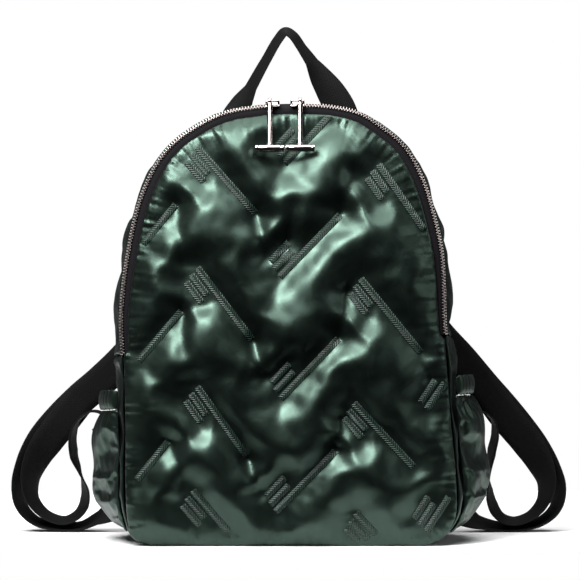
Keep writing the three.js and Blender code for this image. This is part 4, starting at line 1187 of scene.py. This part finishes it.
@dataclass
class ZipPull:
    """One slider with its bail and its hanging T-bar pull."""

    label: str
    body: Body
    pivot: tuple
    lean: float
    mouth: int
    slider_length: float = 12.6
    slider_width: float = 7.4
    plate: float = 1.3
    bail_bar: float = 1.8
    bail_height: float = 3.8
    drop: float = 46.0
    rod: float = 2.4
    tee_length: float = 25.4
    tee: float = 3.0
    groove: float = 0.45
    groove_from: float = 2.7
    groove_to: float = 3.4
    eye_width: float = 3.2
    eye_wire: float = 0.65
    rod_top: float = 2.3

    def seat_x(self) -> float:
        """Place of the slider's middle across the bag; its pull hangs at the closed end."""
        return self.pivot[0] + self.mouth * (self.slider_length / 2 - 0.5 - self.bail_bar - self.eye_width / 2)

    def tee_middle(self) -> Vector:
        """Place of the T-bar's middle while the pull hangs."""
        angle = math.radians(self.lean)
        x, y, z = self.pivot
        return Vector((x, y - self.drop * math.sin(angle), z - self.drop * math.cos(angle)))

    def place(self, obj: bpy.types.Object, turn: Matrix, at: tuple) -> None:
        """Turn and move a piece's mesh, given in millimetres about its own origin."""
        obj.data.transform(Matrix.Translation(Vector(at) * MM) @ turn)
        obj.matrix_world = Matrix.Identity(4)
        obj.data.update()

    def cylinder(self, radius: float, depth: float, at: tuple, turn: tuple, sides: int = 40) -> bpy.types.Object:
        """Add a cylinder with softened ends.

        Args:
            radius: Its radius.
            depth: Its length.
            at: Its middle.
            turn: Its rotation in radians.
            sides: Number of sides.

        Returns:
            The cylinder, its place in its mesh.
        """
        bpy.ops.object.select_all(action="DESELECT")
        bpy.ops.mesh.primitive_cylinder_add(
            vertices=sides, radius=radius * MM, depth=depth * MM, location=Vector(at) * MM, rotation=turn
        )
        obj = bpy.context.active_object
        bpy.ops.object.transform_apply(location=True, rotation=True, scale=True)
        return obj

    def ridges(self, obj: bpy.types.Object) -> None:
        """Cut the ring grooves of the T-bar, which lies along X."""
        only(obj)
        end = self.tee_length / 2
        for spot in (-end + self.groove_to, -end + self.groove_from, end - self.groove_from, end - self.groove_to):
            bpy.ops.object.mode_set(mode="EDIT")
            bpy.ops.mesh.select_all(action="SELECT")
            bpy.ops.mesh.bisect(plane_co=(spot * MM, 0, 0), plane_no=(1, 0, 0))
            bpy.ops.object.mode_set(mode="OBJECT")
        for side in (-1, 1):
            self.inset_ring(obj, side * (end - (self.groove_from + self.groove_to) / 2))

    def inset_ring(self, obj: bpy.types.Object, spot: float) -> None:
        """Sink the ring of faces round one place of the T-bar."""
        only(obj)
        bpy.ops.object.mode_set(mode="EDIT")
        bpy.ops.mesh.select_all(action="DESELECT")
        bpy.ops.object.mode_set(mode="OBJECT")
        for face in obj.data.polygons:
            face.select = abs(face.center.x / MM - spot) < 0.1 and abs(face.normal.x) < 0.5
        bpy.ops.object.mode_set(mode="EDIT")
        bpy.ops.mesh.extrude_region_shrink_fatten(
            TRANSFORM_OT_shrink_fatten={"value": -self.groove * MM}
        )
        bpy.ops.object.mode_set(mode="OBJECT")

    def eye(self) -> bpy.types.Object:
        """Add the pull's eye, a ring round the bail's bar, which lies along X."""
        bore = self.bail_bar / 2 * math.sqrt(2) + 0.4
        middle = bore + self.eye_wire
        bpy.ops.object.select_all(action="DESELECT")
        bpy.ops.mesh.primitive_torus_add(
            major_radius=middle * MM, minor_radius=self.eye_wire * MM, major_segments=40, minor_segments=14,
            rotation=(0, math.pi / 2, 0),
        )
        obj = bpy.context.active_object
        bpy.ops.object.transform_apply(location=True, rotation=True, scale=True)
        for vertex in obj.data.vertices:
            vertex.co.x *= self.eye_width / (2 * self.eye_wire)
        return obj

    def join(self, name: str, parts: list) -> bpy.types.Object:
        """Join parts into one piece.

        Args:
            name: Name of the piece.
            parts: The parts, the first one kept.

        Returns:
            The piece.
        """
        bpy.ops.object.select_all(action="DESELECT")
        for part in parts:
            part.select_set(True)
        bpy.context.view_layer.objects.active = parts[0]
        bpy.ops.object.join()
        obj = bpy.context.active_object
        obj.name = obj.data.name = name
        return obj

    def hanging(self, material: bpy.types.Material) -> bpy.types.Object:
        """Build the pull: eye, rod and grooved T-bar.

        Args:
            material: Its finish.

        Returns:
            The pull.
        """
        top = self.rod_top
        rod = self.cylinder(self.rod, self.drop - top, (0, 0, -(self.drop + top) / 2), (0, 0, 0))
        tee = self.cylinder(self.tee, self.tee_length, (0, 0, 0), (0, math.pi / 2, 0), 48)
        self.ridges(tee)
        tee.data.transform(Matrix.Translation((0, 0, -self.drop * MM)))
        apply_modifier(tee, "BEVEL", width=0.45 * MM, segments=3, limit_method="ANGLE", angle_limit=math.radians(50))
        rings = []
        collars = ((self.rod * 1.25, 1.6, -self.drop + self.tee + 0.5), (self.rod * 1.18, 1.4, -top - 2.0))
        for radius, depth, z in collars:
            ring = self.cylinder(radius, depth, (0, 0, z), (0, 0, 0))
            apply_modifier(
                ring, "BEVEL", width=0.4 * MM, segments=2, limit_method="ANGLE", angle_limit=math.radians(50)
            )
            rings.append(ring)
        obj = self.join(f"pull_{self.label}_tee", [rod, tee, *rings, self.eye()])
        self.place(obj, Matrix.Rotation(-math.radians(self.lean), 4, "X"), self.pivot)
        outward(obj)
        smooth(obj, 45)
        finish_piece(obj, self.body, Slot.NICKEL, material, f"zip_pull_{self.label}")
        return obj

    def box(self, size: tuple, at: tuple, bevel: float) -> bpy.types.Object:
        """Add a block with rounded edges.

        Args:
            size: Its lengths.
            at: Its middle.
            bevel: Radius of its edges.

        Returns:
            The block.
        """
        bpy.ops.object.select_all(action="DESELECT")
        bpy.ops.mesh.primitive_cube_add(size=1, location=Vector(at) * MM, scale=Vector(size) * MM)
        obj = bpy.context.active_object
        bpy.ops.object.transform_apply(location=True, rotation=True, scale=True)
        apply_modifier(obj, "BEVEL", width=bevel * MM, segments=3, limit_method="ANGLE")
        return obj

    def slider(self, shape: BagShape, material: bpy.types.Material) -> bpy.types.Object:
        """Build the slider on the crown: cover plate, core and bail.

        Args:
            shape: The bag's seam lines.
            material: Its finish.

        Returns:
            The slider.
        """
        tilt = math.radians(shape.chain_tilt)
        low = shape.chain_thick / 2 + shape.seam_gap
        u = shape.share_over(self.seat_x())
        px, pz, ox, oz = (float(a[0]) for a in shape.rim(np.array([u])))
        seat = Vector((px, float(shape.seam_y(np.array(pz))), pz))
        out = Vector((ox, 0, oz))
        away = out * math.sin(tilt) + Vector((0, -math.cos(tilt), 0))
        along = Vector((oz, 0, -ox)) * self.mouth
        cover = self.box((self.slider_length, self.slider_width, self.plate), (0, 0, low + self.plate / 2), 0.5)
        for vertex in cover.data.vertices:
            share = abs(vertex.co.x) / (self.slider_length / 2 * MM)
            vertex.co.y *= 1 - 0.3 * share**2
            vertex.co.z += (0.35 * (1 - share**2)) * MM if vertex.co.z > (low + self.plate / 2) * MM else 0
        height = low + self.plate / 2 + shape.chain_thick / 2
        core_size = (self.slider_length - 1, shape.chain_width * 0.66, height)
        core = self.box(core_size, (0, 0, low + self.plate / 2 - height / 2), 0.4)
        reach = self.slider_length / 2 - 0.2 - self.bail_bar / 2
        top = low + self.plate + self.bail_height
        bar = self.bail_bar / 2
        foot = low + self.plate
        posts = [
            self.cylinder(bar, top - low - self.plate + 0.6, (side * reach, 0, (top + foot) / 2 - 0.3), (0, 0, 0), 24)
            for side in (-1, 1)
        ]
        lintel = self.cylinder(bar, 2 * reach, (0, 0, top), (0, math.pi / 2, 0), 24)
        knuckles = []
        for side in (-1, 1):
            bpy.ops.object.select_all(action="DESELECT")
            bpy.ops.mesh.primitive_uv_sphere_add(
                segments=24, ring_count=12, radius=bar * 1.02 * MM, location=(side * reach * MM, 0, top * MM)
            )
            bpy.ops.object.transform_apply(location=True, rotation=True, scale=True)
            knuckles.append(bpy.context.active_object)
        obj = self.join(f"slider_{self.label}", [cover, core, lintel, *posts, *knuckles])
        turn = Matrix((along, away.cross(along), away)).transposed().to_4x4()
        self.place(obj, turn, tuple(seat))
        outward(obj)
        smooth(obj, 45)
        finish_piece(obj, Body.BAG, Slot.NICKEL, material, f"zip_slider_{self.label}")
        return obj


PULLS = (
    ZipPull("left", Body.PULL_LEFT, (-17.8093, -52.9460, 392.1631), 22.774, 1),
    ZipPull("right", Body.PULL_RIGHT, (9.0106, -52.9066, 392.7769), 21.666, -1),
)


@dataclass
class ZipLine:
    """Tapes and teeth of the zip that runs over the crown."""

    shape: BagShape
    pitch: float = 2.6
    tape_thick: float = 1.0

    def strip(self, name: str, node: str, corners: list, material: bpy.types.Material) -> bpy.types.Object:
        """Build a tape along the zip.

        Args:
            name: Name of the piece.
            node: The CAD node that it replaces.
            corners: Rows of distances outwards and forwards, each an array or number.
            material: Its finish.

        Returns:
            The tape.
        """
        s = self.shape
        count = 420
        u = np.linspace(s.zip_from, s.zip_to, count)
        x, z, ox, oz = s.rim(u)
        rings = np.empty((count, len(corners), 3))
        uv = np.empty((count, len(corners), 2))
        for k, (outwards, forwards) in enumerate(corners):
            outwards = np.broadcast_to(outwards, u.shape)
            rings[:, k, 0] = x + ox * outwards
            rings[:, k, 1] = s.seam_y(z) - forwards
            rings[:, k, 2] = z + oz * outwards
            uv[:, k, 0] = outwards + np.broadcast_to(forwards, u.shape)
            uv[:, k, 1] = u * s.length
        points, faces = loft(rings)
        obj = to_object(name, points, faces, uv.reshape(-1, 2))
        outward(obj)
        smooth(obj, 50)
        finish_piece(obj, Body.BAG, Slot.TAPE, material, node)
        return obj

    def tapes(self, material: bpy.types.Material) -> None:
        """Build the tape before and the tape behind the teeth."""
        s = self.shape
        u = np.linspace(s.zip_from, s.zip_to, 420)
        start = -s.chain_reach + 0.6
        end = -s.chain_reach - s.seam_gap - s.tape(u)
        middle = (start + end) / 2
        half = self.tape_thick / 2
        front = [
            (end, np.full_like(u, -half)), (middle, -half), (start, -half - 0.8), (-0.9, -1.9), (1.2, -3.1),
            (1.6, -2.4), (-0.5, -0.9), (start, half), (middle, half + 0.5), (end, half),
        ]
        self.strip("tape_front", "zip_tape_front", front, material)
        near = -s.chain_depth + 0.6
        far = -s.chain_depth - s.seam_gap - s.tape_rear
        rear = [
            (s.ledge - 1, far), (s.ledge, far), (s.ledge + 0.3, (near + far) / 2), (s.ledge, near), (s.ledge - 1, near),
        ]
        self.strip("tape_rear", "zip_tape_rear", rear, material)

    def tooth(self) -> tuple:
        """Model one tooth: a small block with a rounded head, along X over the gap.

        Returns:
            Its points in millimetres and its faces.
        """
        bpy.ops.object.select_all(action="DESELECT")
        bpy.ops.mesh.primitive_cube_add(size=1, scale=Vector((2.9, 0.95, 2.0)) * MM)
        obj = bpy.context.active_object
        bpy.ops.object.transform_apply(location=True, rotation=True, scale=True)
        for vertex in obj.data.vertices:
            if vertex.co.x > 0:
                vertex.co.y *= 0.8
                vertex.co.z *= 0.72
        apply_modifier(obj, "BEVEL", width=0.25 * MM, segments=1, limit_method="NONE")
        points = read_places(obj.data) / MM
        faces = [tuple(face.vertices) for face in obj.data.polygons]
        bpy.data.objects.remove(obj)
        return points, faces

    def teeth(self, label: str, span: tuple, material: bpy.types.Material) -> bpy.types.Object:
        """Lay teeth along one stretch of the zip.

        Args:
            label: left or right.
            span: First and last share of the seam line.
            material: Their finish.

        Returns:
            The teeth, one piece.
        """
        s = self.shape
        base, faces = self.tooth()
        tilt = math.radians(s.chain_tilt)
        count = int((span[1] - span[0]) * s.length / (self.pitch / 2))
        points, found = [], []
        for k in range(count):
            u = span[0] + (k + 0.5) / count * (span[1] - span[0])
            x, z, ox, oz = (float(a[0]) for a in s.rim(np.array([u])))
            side = 1 if k % 2 else -1
            out = np.array([ox, 0, oz])
            along = np.array([oz, 0, -ox])
            ahead = np.array([0, -1.0, 0])
            across = out * math.cos(tilt) - ahead * math.sin(tilt)
            up = out * math.sin(tilt) + ahead * math.cos(tilt)
            seat = np.array([x, float(s.seam_y(np.array(z))), z]) - across * side * 0.75
            head = across * side
            turned = base[:, :1] * head + base[:, 1:2] * along + base[:, 2:3] * up
            points.append(turned + seat)
            found.extend(tuple(n + k * len(base) for n in face) for face in faces)
        obj = to_object(f"teeth_{label}", np.vstack(points), found)
        outward(obj)
        smooth(obj, 30)
        finish_piece(obj, Body.BAG, Slot.TEETH, material, f"zip_teeth_{label}")
        return obj

    def build(self, tape: bpy.types.Material, metal: bpy.types.Material) -> None:
        """Build tapes and teeth.

        Args:
            tape: The tapes' finish.
            metal: The teeth's finish.
        """
        s = self.shape
        self.tapes(tape)
        ends = []
        for pull in PULLS:
            ends.append((s.share_over(pull.seat_x()), (pull.slider_length / 2 + 0.1) / s.length))
        self.teeth("left", (s.zip_from, ends[0][0] - ends[0][1]), metal)
        self.teeth("right", (ends[1][0] + ends[1][1], s.zip_to), metal)


# -------------------------------------------------------------------- webbing


@dataclass
class Harness:
    """Top handle, shoulder straps, their tails and the hidden slides."""

    width: float = 30.0
    thick: float = 1.5
    back_height: float = 372.0
    handle_span: float = 96.0
    handle_rise: float = 99.0
    reach: float = 254.0
    rise: float = 350.0
    standoff: float = 15.0
    layer_gap: float = 0.5
    back_y: float = 75.35
    fine: int = 9

    # x as a share of half the span, z as a share of the rise over the back panel, twist in degrees
    HANDLE_ROWS = (
        (-1.06, -0.16, 0), (-1.06, -0.03, 0), (-1.05, 0.1, 8), (-0.97, 0.24, 42), (-0.76, 0.42, 68),
        (-0.44, 0.7, 72), (-0.22, 0.88, 72), (-0.09, 0.95, 72), (0.05, 0.915, 72), (0.22, 0.8, 72),
        (0.42, 0.66, 66), (0.6, 0.52, 44), (0.79, 0.38, 26), (0.97, 0.22, 12), (1.05, 0.08, 2),
        (1.06, -0.03, 0), (1.06, -0.16, 0),
    )
    # Right x and z, left x and z as shares of reach and rise, stand-off share, twist in degrees
    STRAP_ROWS = (
        (0.157, 1.0, 0.157, 1.0, 0, 0), (0.184, 0.949, 0.184, 0.949, 0, 0), (0.26, 0.851, 0.262, 0.845, 0.22, 0),
        (0.354, 0.731, 0.362, 0.712, 0.45, 0), (0.457, 0.611, 0.482, 0.576, 0.7, 0),
        (0.545, 0.526, 0.598, 0.47, 0.85, 0), (0.63, 0.459, 0.692, 0.403, 0.95, 0),
        (0.709, 0.391, 0.772, 0.353, 1.0, -2), (0.795, 0.32, 0.843, 0.302, 1.0, -8),
        (0.89, 0.234, 0.912, 0.244, 1.0, -22), (0.948, 0.171, 0.961, 0.184, 1.0, -42),
        (0.985, 0.115, 0.994, 0.122, 0.95, -64), (0.977, 0.062, 0.99, 0.068, 0.95, -76),
        (0.924, 0.026, 0.936, 0.027, 0.95, -80), (0.854, 0.0125, 0.85, 0.0125, 0.9, -80),
        (0.774, 0.0125, 0.77, 0.0145, 0.85, -79), (0.7, 0.024, 0.706, 0.036, 0.75, -72),
        (0.638, 0.048, 0.645, 0.062, 0.5, -45), (0.578, 0.074, 0.582, 0.084, 0.18, -12),
        (0.53, 0.092, 0.53, 0.1, 0, 0), (0.47, 0.112, 0.47, 0.118, 0, 0),
    )
    TAIL_ROWS = (
        (0.786, 0.312, 0.834, 0.294, 0.74, -8), (0.872, 0.236, 0.888, 0.242, 0.68, -20),
        (0.918, 0.183, 0.928, 0.196, 0.7, -38), (0.943, 0.128, 0.955, 0.136, 0.76, -60),
        (0.93, 0.078, 0.945, 0.082, 0.85, -74), (0.886, 0.042, 0.9, 0.045, 0.87, -80),
        (0.83, 0.0265, 0.832, 0.028, 0.87, -80), (0.783, 0.034, 0.785, 0.043, 0.85, -76),
        (0.75, 0.062, 0.757, 0.075, 0.75, -70), (0.733, 0.1, 0.752, 0.114, 0.6, -74),
        (0.727, 0.15, 0.77, 0.162, 0.35, -90), (0.738, 0.213, 0.791, 0.208, 0.08, -100),
        (0.751, 0.262, 0.795, 0.258, -0.08, -98), (0.742, 0.299, 0.772, 0.3, -0.14, -92),
        (0.705, 0.32, 0.725, 0.322, -0.14, -90), (0.668, 0.314, 0.684, 0.314, -0.14, -90),
        (0.65, 0.297, 0.672, 0.298, -0.14, -90), (0.655, 0.279, 0.688, 0.283, -0.14, -90),
        (0.672, 0.268, 0.72, 0.274, -0.14, -90),
    )
    SHARED = (4, 7)

    def ribbon(
        self, name: str, node: str, places: np.ndarray, turns: np.ndarray, side: int, material: bpy.types.Material
    ) -> None:
        """Build a band of webbing.

        Args:
            name: Name of the piece.
            node: The CAD node that it replaces.
            places: Middle line.
            turns: Twist at each place in degrees; 0 faces the front.
            side: -1 mirrors the band to the left.
            material: Its finish.
        """
        ahead = np.gradient(places, axis=0)
        ahead /= np.linalg.norm(ahead, axis=1, keepdims=True)
        front = np.array([0.0, -1.0, 0.0]) - ahead * -ahead[:, 1:2]
        front /= np.linalg.norm(front, axis=1, keepdims=True)
        level = np.cross(ahead, front)
        angle = np.radians(turns)[:, None]
        across = level * np.cos(angle) + front * np.sin(angle)
        face = front * np.cos(angle) - level * np.sin(angle)
        run = np.concatenate([[0.0], np.cumsum(np.linalg.norm(np.diff(places, axis=0), axis=1))])
        section = [(-1, -0.5), (-0.97, -1), (-0.5, -1), (0, -1), (0.5, -1), (0.97, -1), (1, -0.5),
                   (1, 0.5), (0.97, 1), (0.5, 1), (0, 1), (-0.5, 1), (-0.97, 1), (-1, 0.5)]
        wobble = np.array([noise.noise(Vector((s / 23, side * 3.3, 0))) for s in run])[:, None]
        rings = np.stack(
            [
                places + across * a * self.width / 2 + face * (b * self.thick / 2 + 0.35 * wobble * (a * a))
                for a, b in section
            ],
            axis=1,
        )
        if side < 0:
            rings[:, :, 0] *= -1
        uv = np.stack([np.stack([np.full_like(run, a * self.width / 2), run], axis=1) for a, _ in section], axis=1)
        points, faces = loft(rings)
        obj = to_object(name, points, faces, uv.reshape(-1, 2))
        outward(obj)
        smooth(obj, 50)
        finish_piece(obj, Body.BAG, Slot.WEBBING, material, node)
        LOG.info("%s: %.0f mm of webbing", name, run[-1])

    def through(self, points: np.ndarray, turns: np.ndarray, per_row: int) -> tuple:
        """Run places and twists smoothly through rows."""
        places = catmull(points, per_row)
        rows = np.arange(len(places)) / per_row
        return places, np.interp(rows, np.arange(len(turns)), turns)

    def route(self, rows: tuple, side: int) -> tuple:
        """Places and twists of a strap's rows, worked out on the right side."""
        x, z = (2, 3) if side < 0 else (0, 1)
        points = np.array([(r[x] * self.reach, self.back_y + r[4] * self.standoff, r[z] * self.rise) for r in rows])
        return points, np.array([float(r[5]) for r in rows])

    def handle(self, material: bpy.types.Material) -> None:
        """Build the top handle."""
        points = np.array([
            (x * self.handle_span / 2, self.back_y, self.back_height + z * self.handle_rise)
            for x, z, _ in self.HANDLE_ROWS
        ])
        turns = np.array([float(t) for _, _, t in self.HANDLE_ROWS])
        places, twist = self.through(points, turns, self.fine)
        self.ribbon("handle_webbing", "top_handle", places, twist, 1, material)

    def strap(self, side: int, material: bpy.types.Material) -> None:
        """Build one shoulder strap with its tail.

        Args:
            side: -1 for the left one, 1 for the right one.
            material: Their finish.
        """
        label = "left" if side < 0 else "right"
        points, turns = self.route(self.STRAP_ROWS, side)
        places, twist = self.through(points, turns, self.fine)
        self.ribbon(f"strap_{label}", f"shoulder_strap_{label}", places, twist, side, material)
        lead = slice(self.SHARED[0] * self.fine, self.SHARED[1] * self.fine + 1)
        lifted = places[lead] + np.array([0.0, -(self.thick + self.layer_gap), 0.0])
        tail_points, tail_turns = self.route(self.TAIL_ROWS, side)
        tail_places, tail_twist = self.through(
            np.vstack([lifted[-1:], tail_points]), np.concatenate([twist[lead][-1:], tail_turns]), self.fine
        )
        self.ribbon(
            f"tail_{label}", f"strap_tail_{label}", np.vstack([lifted[:-1], tail_places]),
            np.concatenate([twist[lead][:-1], tail_twist]), side, material,
        )

    def build(self, webbing: bpy.types.Material, plastic: bpy.types.Material) -> None:
        """Build handle and straps and dress the slides.

        Args:
            webbing: Finish of the webbing.
            plastic: Finish of the slides.
        """
        self.handle(webbing)
        for side in (-1, 1):
            self.strap(side, webbing)
        for label in ("left", "right"):
            slide = bpy.data.objects[f"strap_slide_{label}"]
            slide.data.materials.clear()
            slide.data.materials.append(plastic)


# --------------------------------------------------------------------- studio


@dataclass
class Studio:
    """Floor, lights and camera."""

    camera_back: float = 2.567
    camera_height: float = 0.2253
    lens: float = 176.3

    # Name, place, aim, size, watts and the angle over which the lamp shines
    LAMPS = (
        ("key", (-0.62, -0.95, 1.4), (-0.02, -0.05, 0.34), (0.9, 0.6), 10, 80),
        ("overhead", (0, 0.35, 2.2), (0, 0.35, 0), (2.2, 1.6), 26, 140),
        ("crown", (0.2, -0.8, 1.9), (0, -0.05, 0.38), (1.5, 0.8), 8, 100),
        ("rim_right", (1.7, -0.4, 0.7), (0, 0, 0.2), (0.5, 1.0), 3.2, 180),
        ("rim_left", (-1.7, -0.2, 0.6), (0, 0, 0.2), (0.25, 1.0), 0.3, 180),
    )

    def floor(self) -> None:
        """Lay a sheet of pale paper under the bag."""
        wide, front, back = 620.0, -115.0, 620.0
        points = [(x, y, 0.0) for y in np.linspace(front, back, 5) for x in np.linspace(-wide, wide, 5)]
        faces = grid_faces(5, 5)
        obj = to_object("studio_paper", np.array(points), faces)
        smooth(obj, 180)
        obj.data.materials.append(StudioPaper().make("seamless_paper"))

    def light(self, name: str, at: tuple, aim: tuple, size: tuple, power: float, spread: float) -> None:
        """Hang a soft rectangular light.

        Args:
            name: Its name.
            at: Its place in metres.
            aim: The place that it points at.
            size: Width and height.
            power: Watts.
            spread: Angle over which it shines, in degrees.
        """
        data = bpy.data.lights.new(name, "AREA")
        data.shape = "RECTANGLE"
        data.size, data.size_y = size
        data.energy = power
        data.spread = math.radians(spread)
        obj = bpy.data.objects.new(name, data)
        obj.location = at
        obj.rotation_euler = (Vector(aim) - Vector(at)).to_track_quat("-Z", "Y").to_euler()
        bpy.context.scene.collection.objects.link(obj)

    def build(self) -> None:
        """Set up the whole studio."""
        self.floor()
        for lamp in self.LAMPS:
            self.light(*lamp)
        bpy.context.scene.view_settings.view_transform = "Standard"
        world = bpy.context.scene.world or bpy.data.worlds.new("studio")
        bpy.context.scene.world = world
        world.use_nodes = True
        world.node_tree.nodes.clear()
        tree = world.node_tree
        room = add_node(tree, "Background", {"Color": linear("D8DCDA"), "Strength": 0.02})
        paper = add_node(tree, "Background", {"Color": linear("FFFFFF"), "Strength": 1.0})
        seen = add_node(tree, "LightPath").outputs["Is Camera Ray"]
        backs = {0: seen, 1: room.outputs["Background"], 2: paper.outputs["Background"]}
        mixed = add_node(tree, "MixShader", backs)
        add_node(tree, "OutputWorld", {"Surface": mixed.outputs["Shader"]})
        camera = bpy.data.cameras.new("camera")
        camera.sensor_width = 36.0
        camera.lens = self.lens
        camera.clip_end = 20.0
        obj = bpy.data.objects.new("camera", camera)
        obj.location = (0.0, -self.camera_back, self.camera_height)
        obj.rotation_euler = (math.pi / 2, 0.0, 0.0)
        bpy.context.scene.collection.objects.link(obj)
        bpy.context.scene.camera = obj


def main() -> None:
    """Build the bag, piece by piece, and its studio."""
    logging.basicConfig(level=logging.INFO, format="%(name)s %(message)s")
    shape = BagShape()
    satin = NylonSatin().make("nylon_satin")
    satin_dark = NylonSatin(light="37463F", dark="222F2A", roughness=0.42).make("nylon_satin_back")
    # Webbing and zip tape both carry the painted highlight on thread crowns and the painted shade between threads.
    webbing = WovenWebbing().make("polypropylene_webbing")
    tape = WovenWebbing(dark="060505", light="17131A", rib_mm=1.2, warp_mm=0.9, depth_mm=0.2).make("polyester_zip_tape")
    thread = EmbroideryThread().make("polyester_embroidery")
    nickel = PlatedMetal().make("nickel_plated_zinc")
    teeth = PlatedMetal(colour="A8A29F", roughness=0.27, wave_mm=3.0).make("aluminium_teeth")
    acetal = MouldedAcetal().make("moulded_acetal")

    front = QuiltedFront(shape)
    panel = front.build(satin)
    front.stitch(panel, thread)
    SideWalls(shape).build(satin, satin_dark)
    SidePocket(shape, -1, 138.0).build(satin)
    SidePocket(shape, 1, 150.0).build(satin)
    ZipLine(shape).build(tape, teeth)
    for pull in PULLS:
        pull.hanging(nickel)
        pull.slider(shape, nickel)
    Harness().build(webbing, acetal)
    Studio().build()


if __name__ == "__main__":
    main()
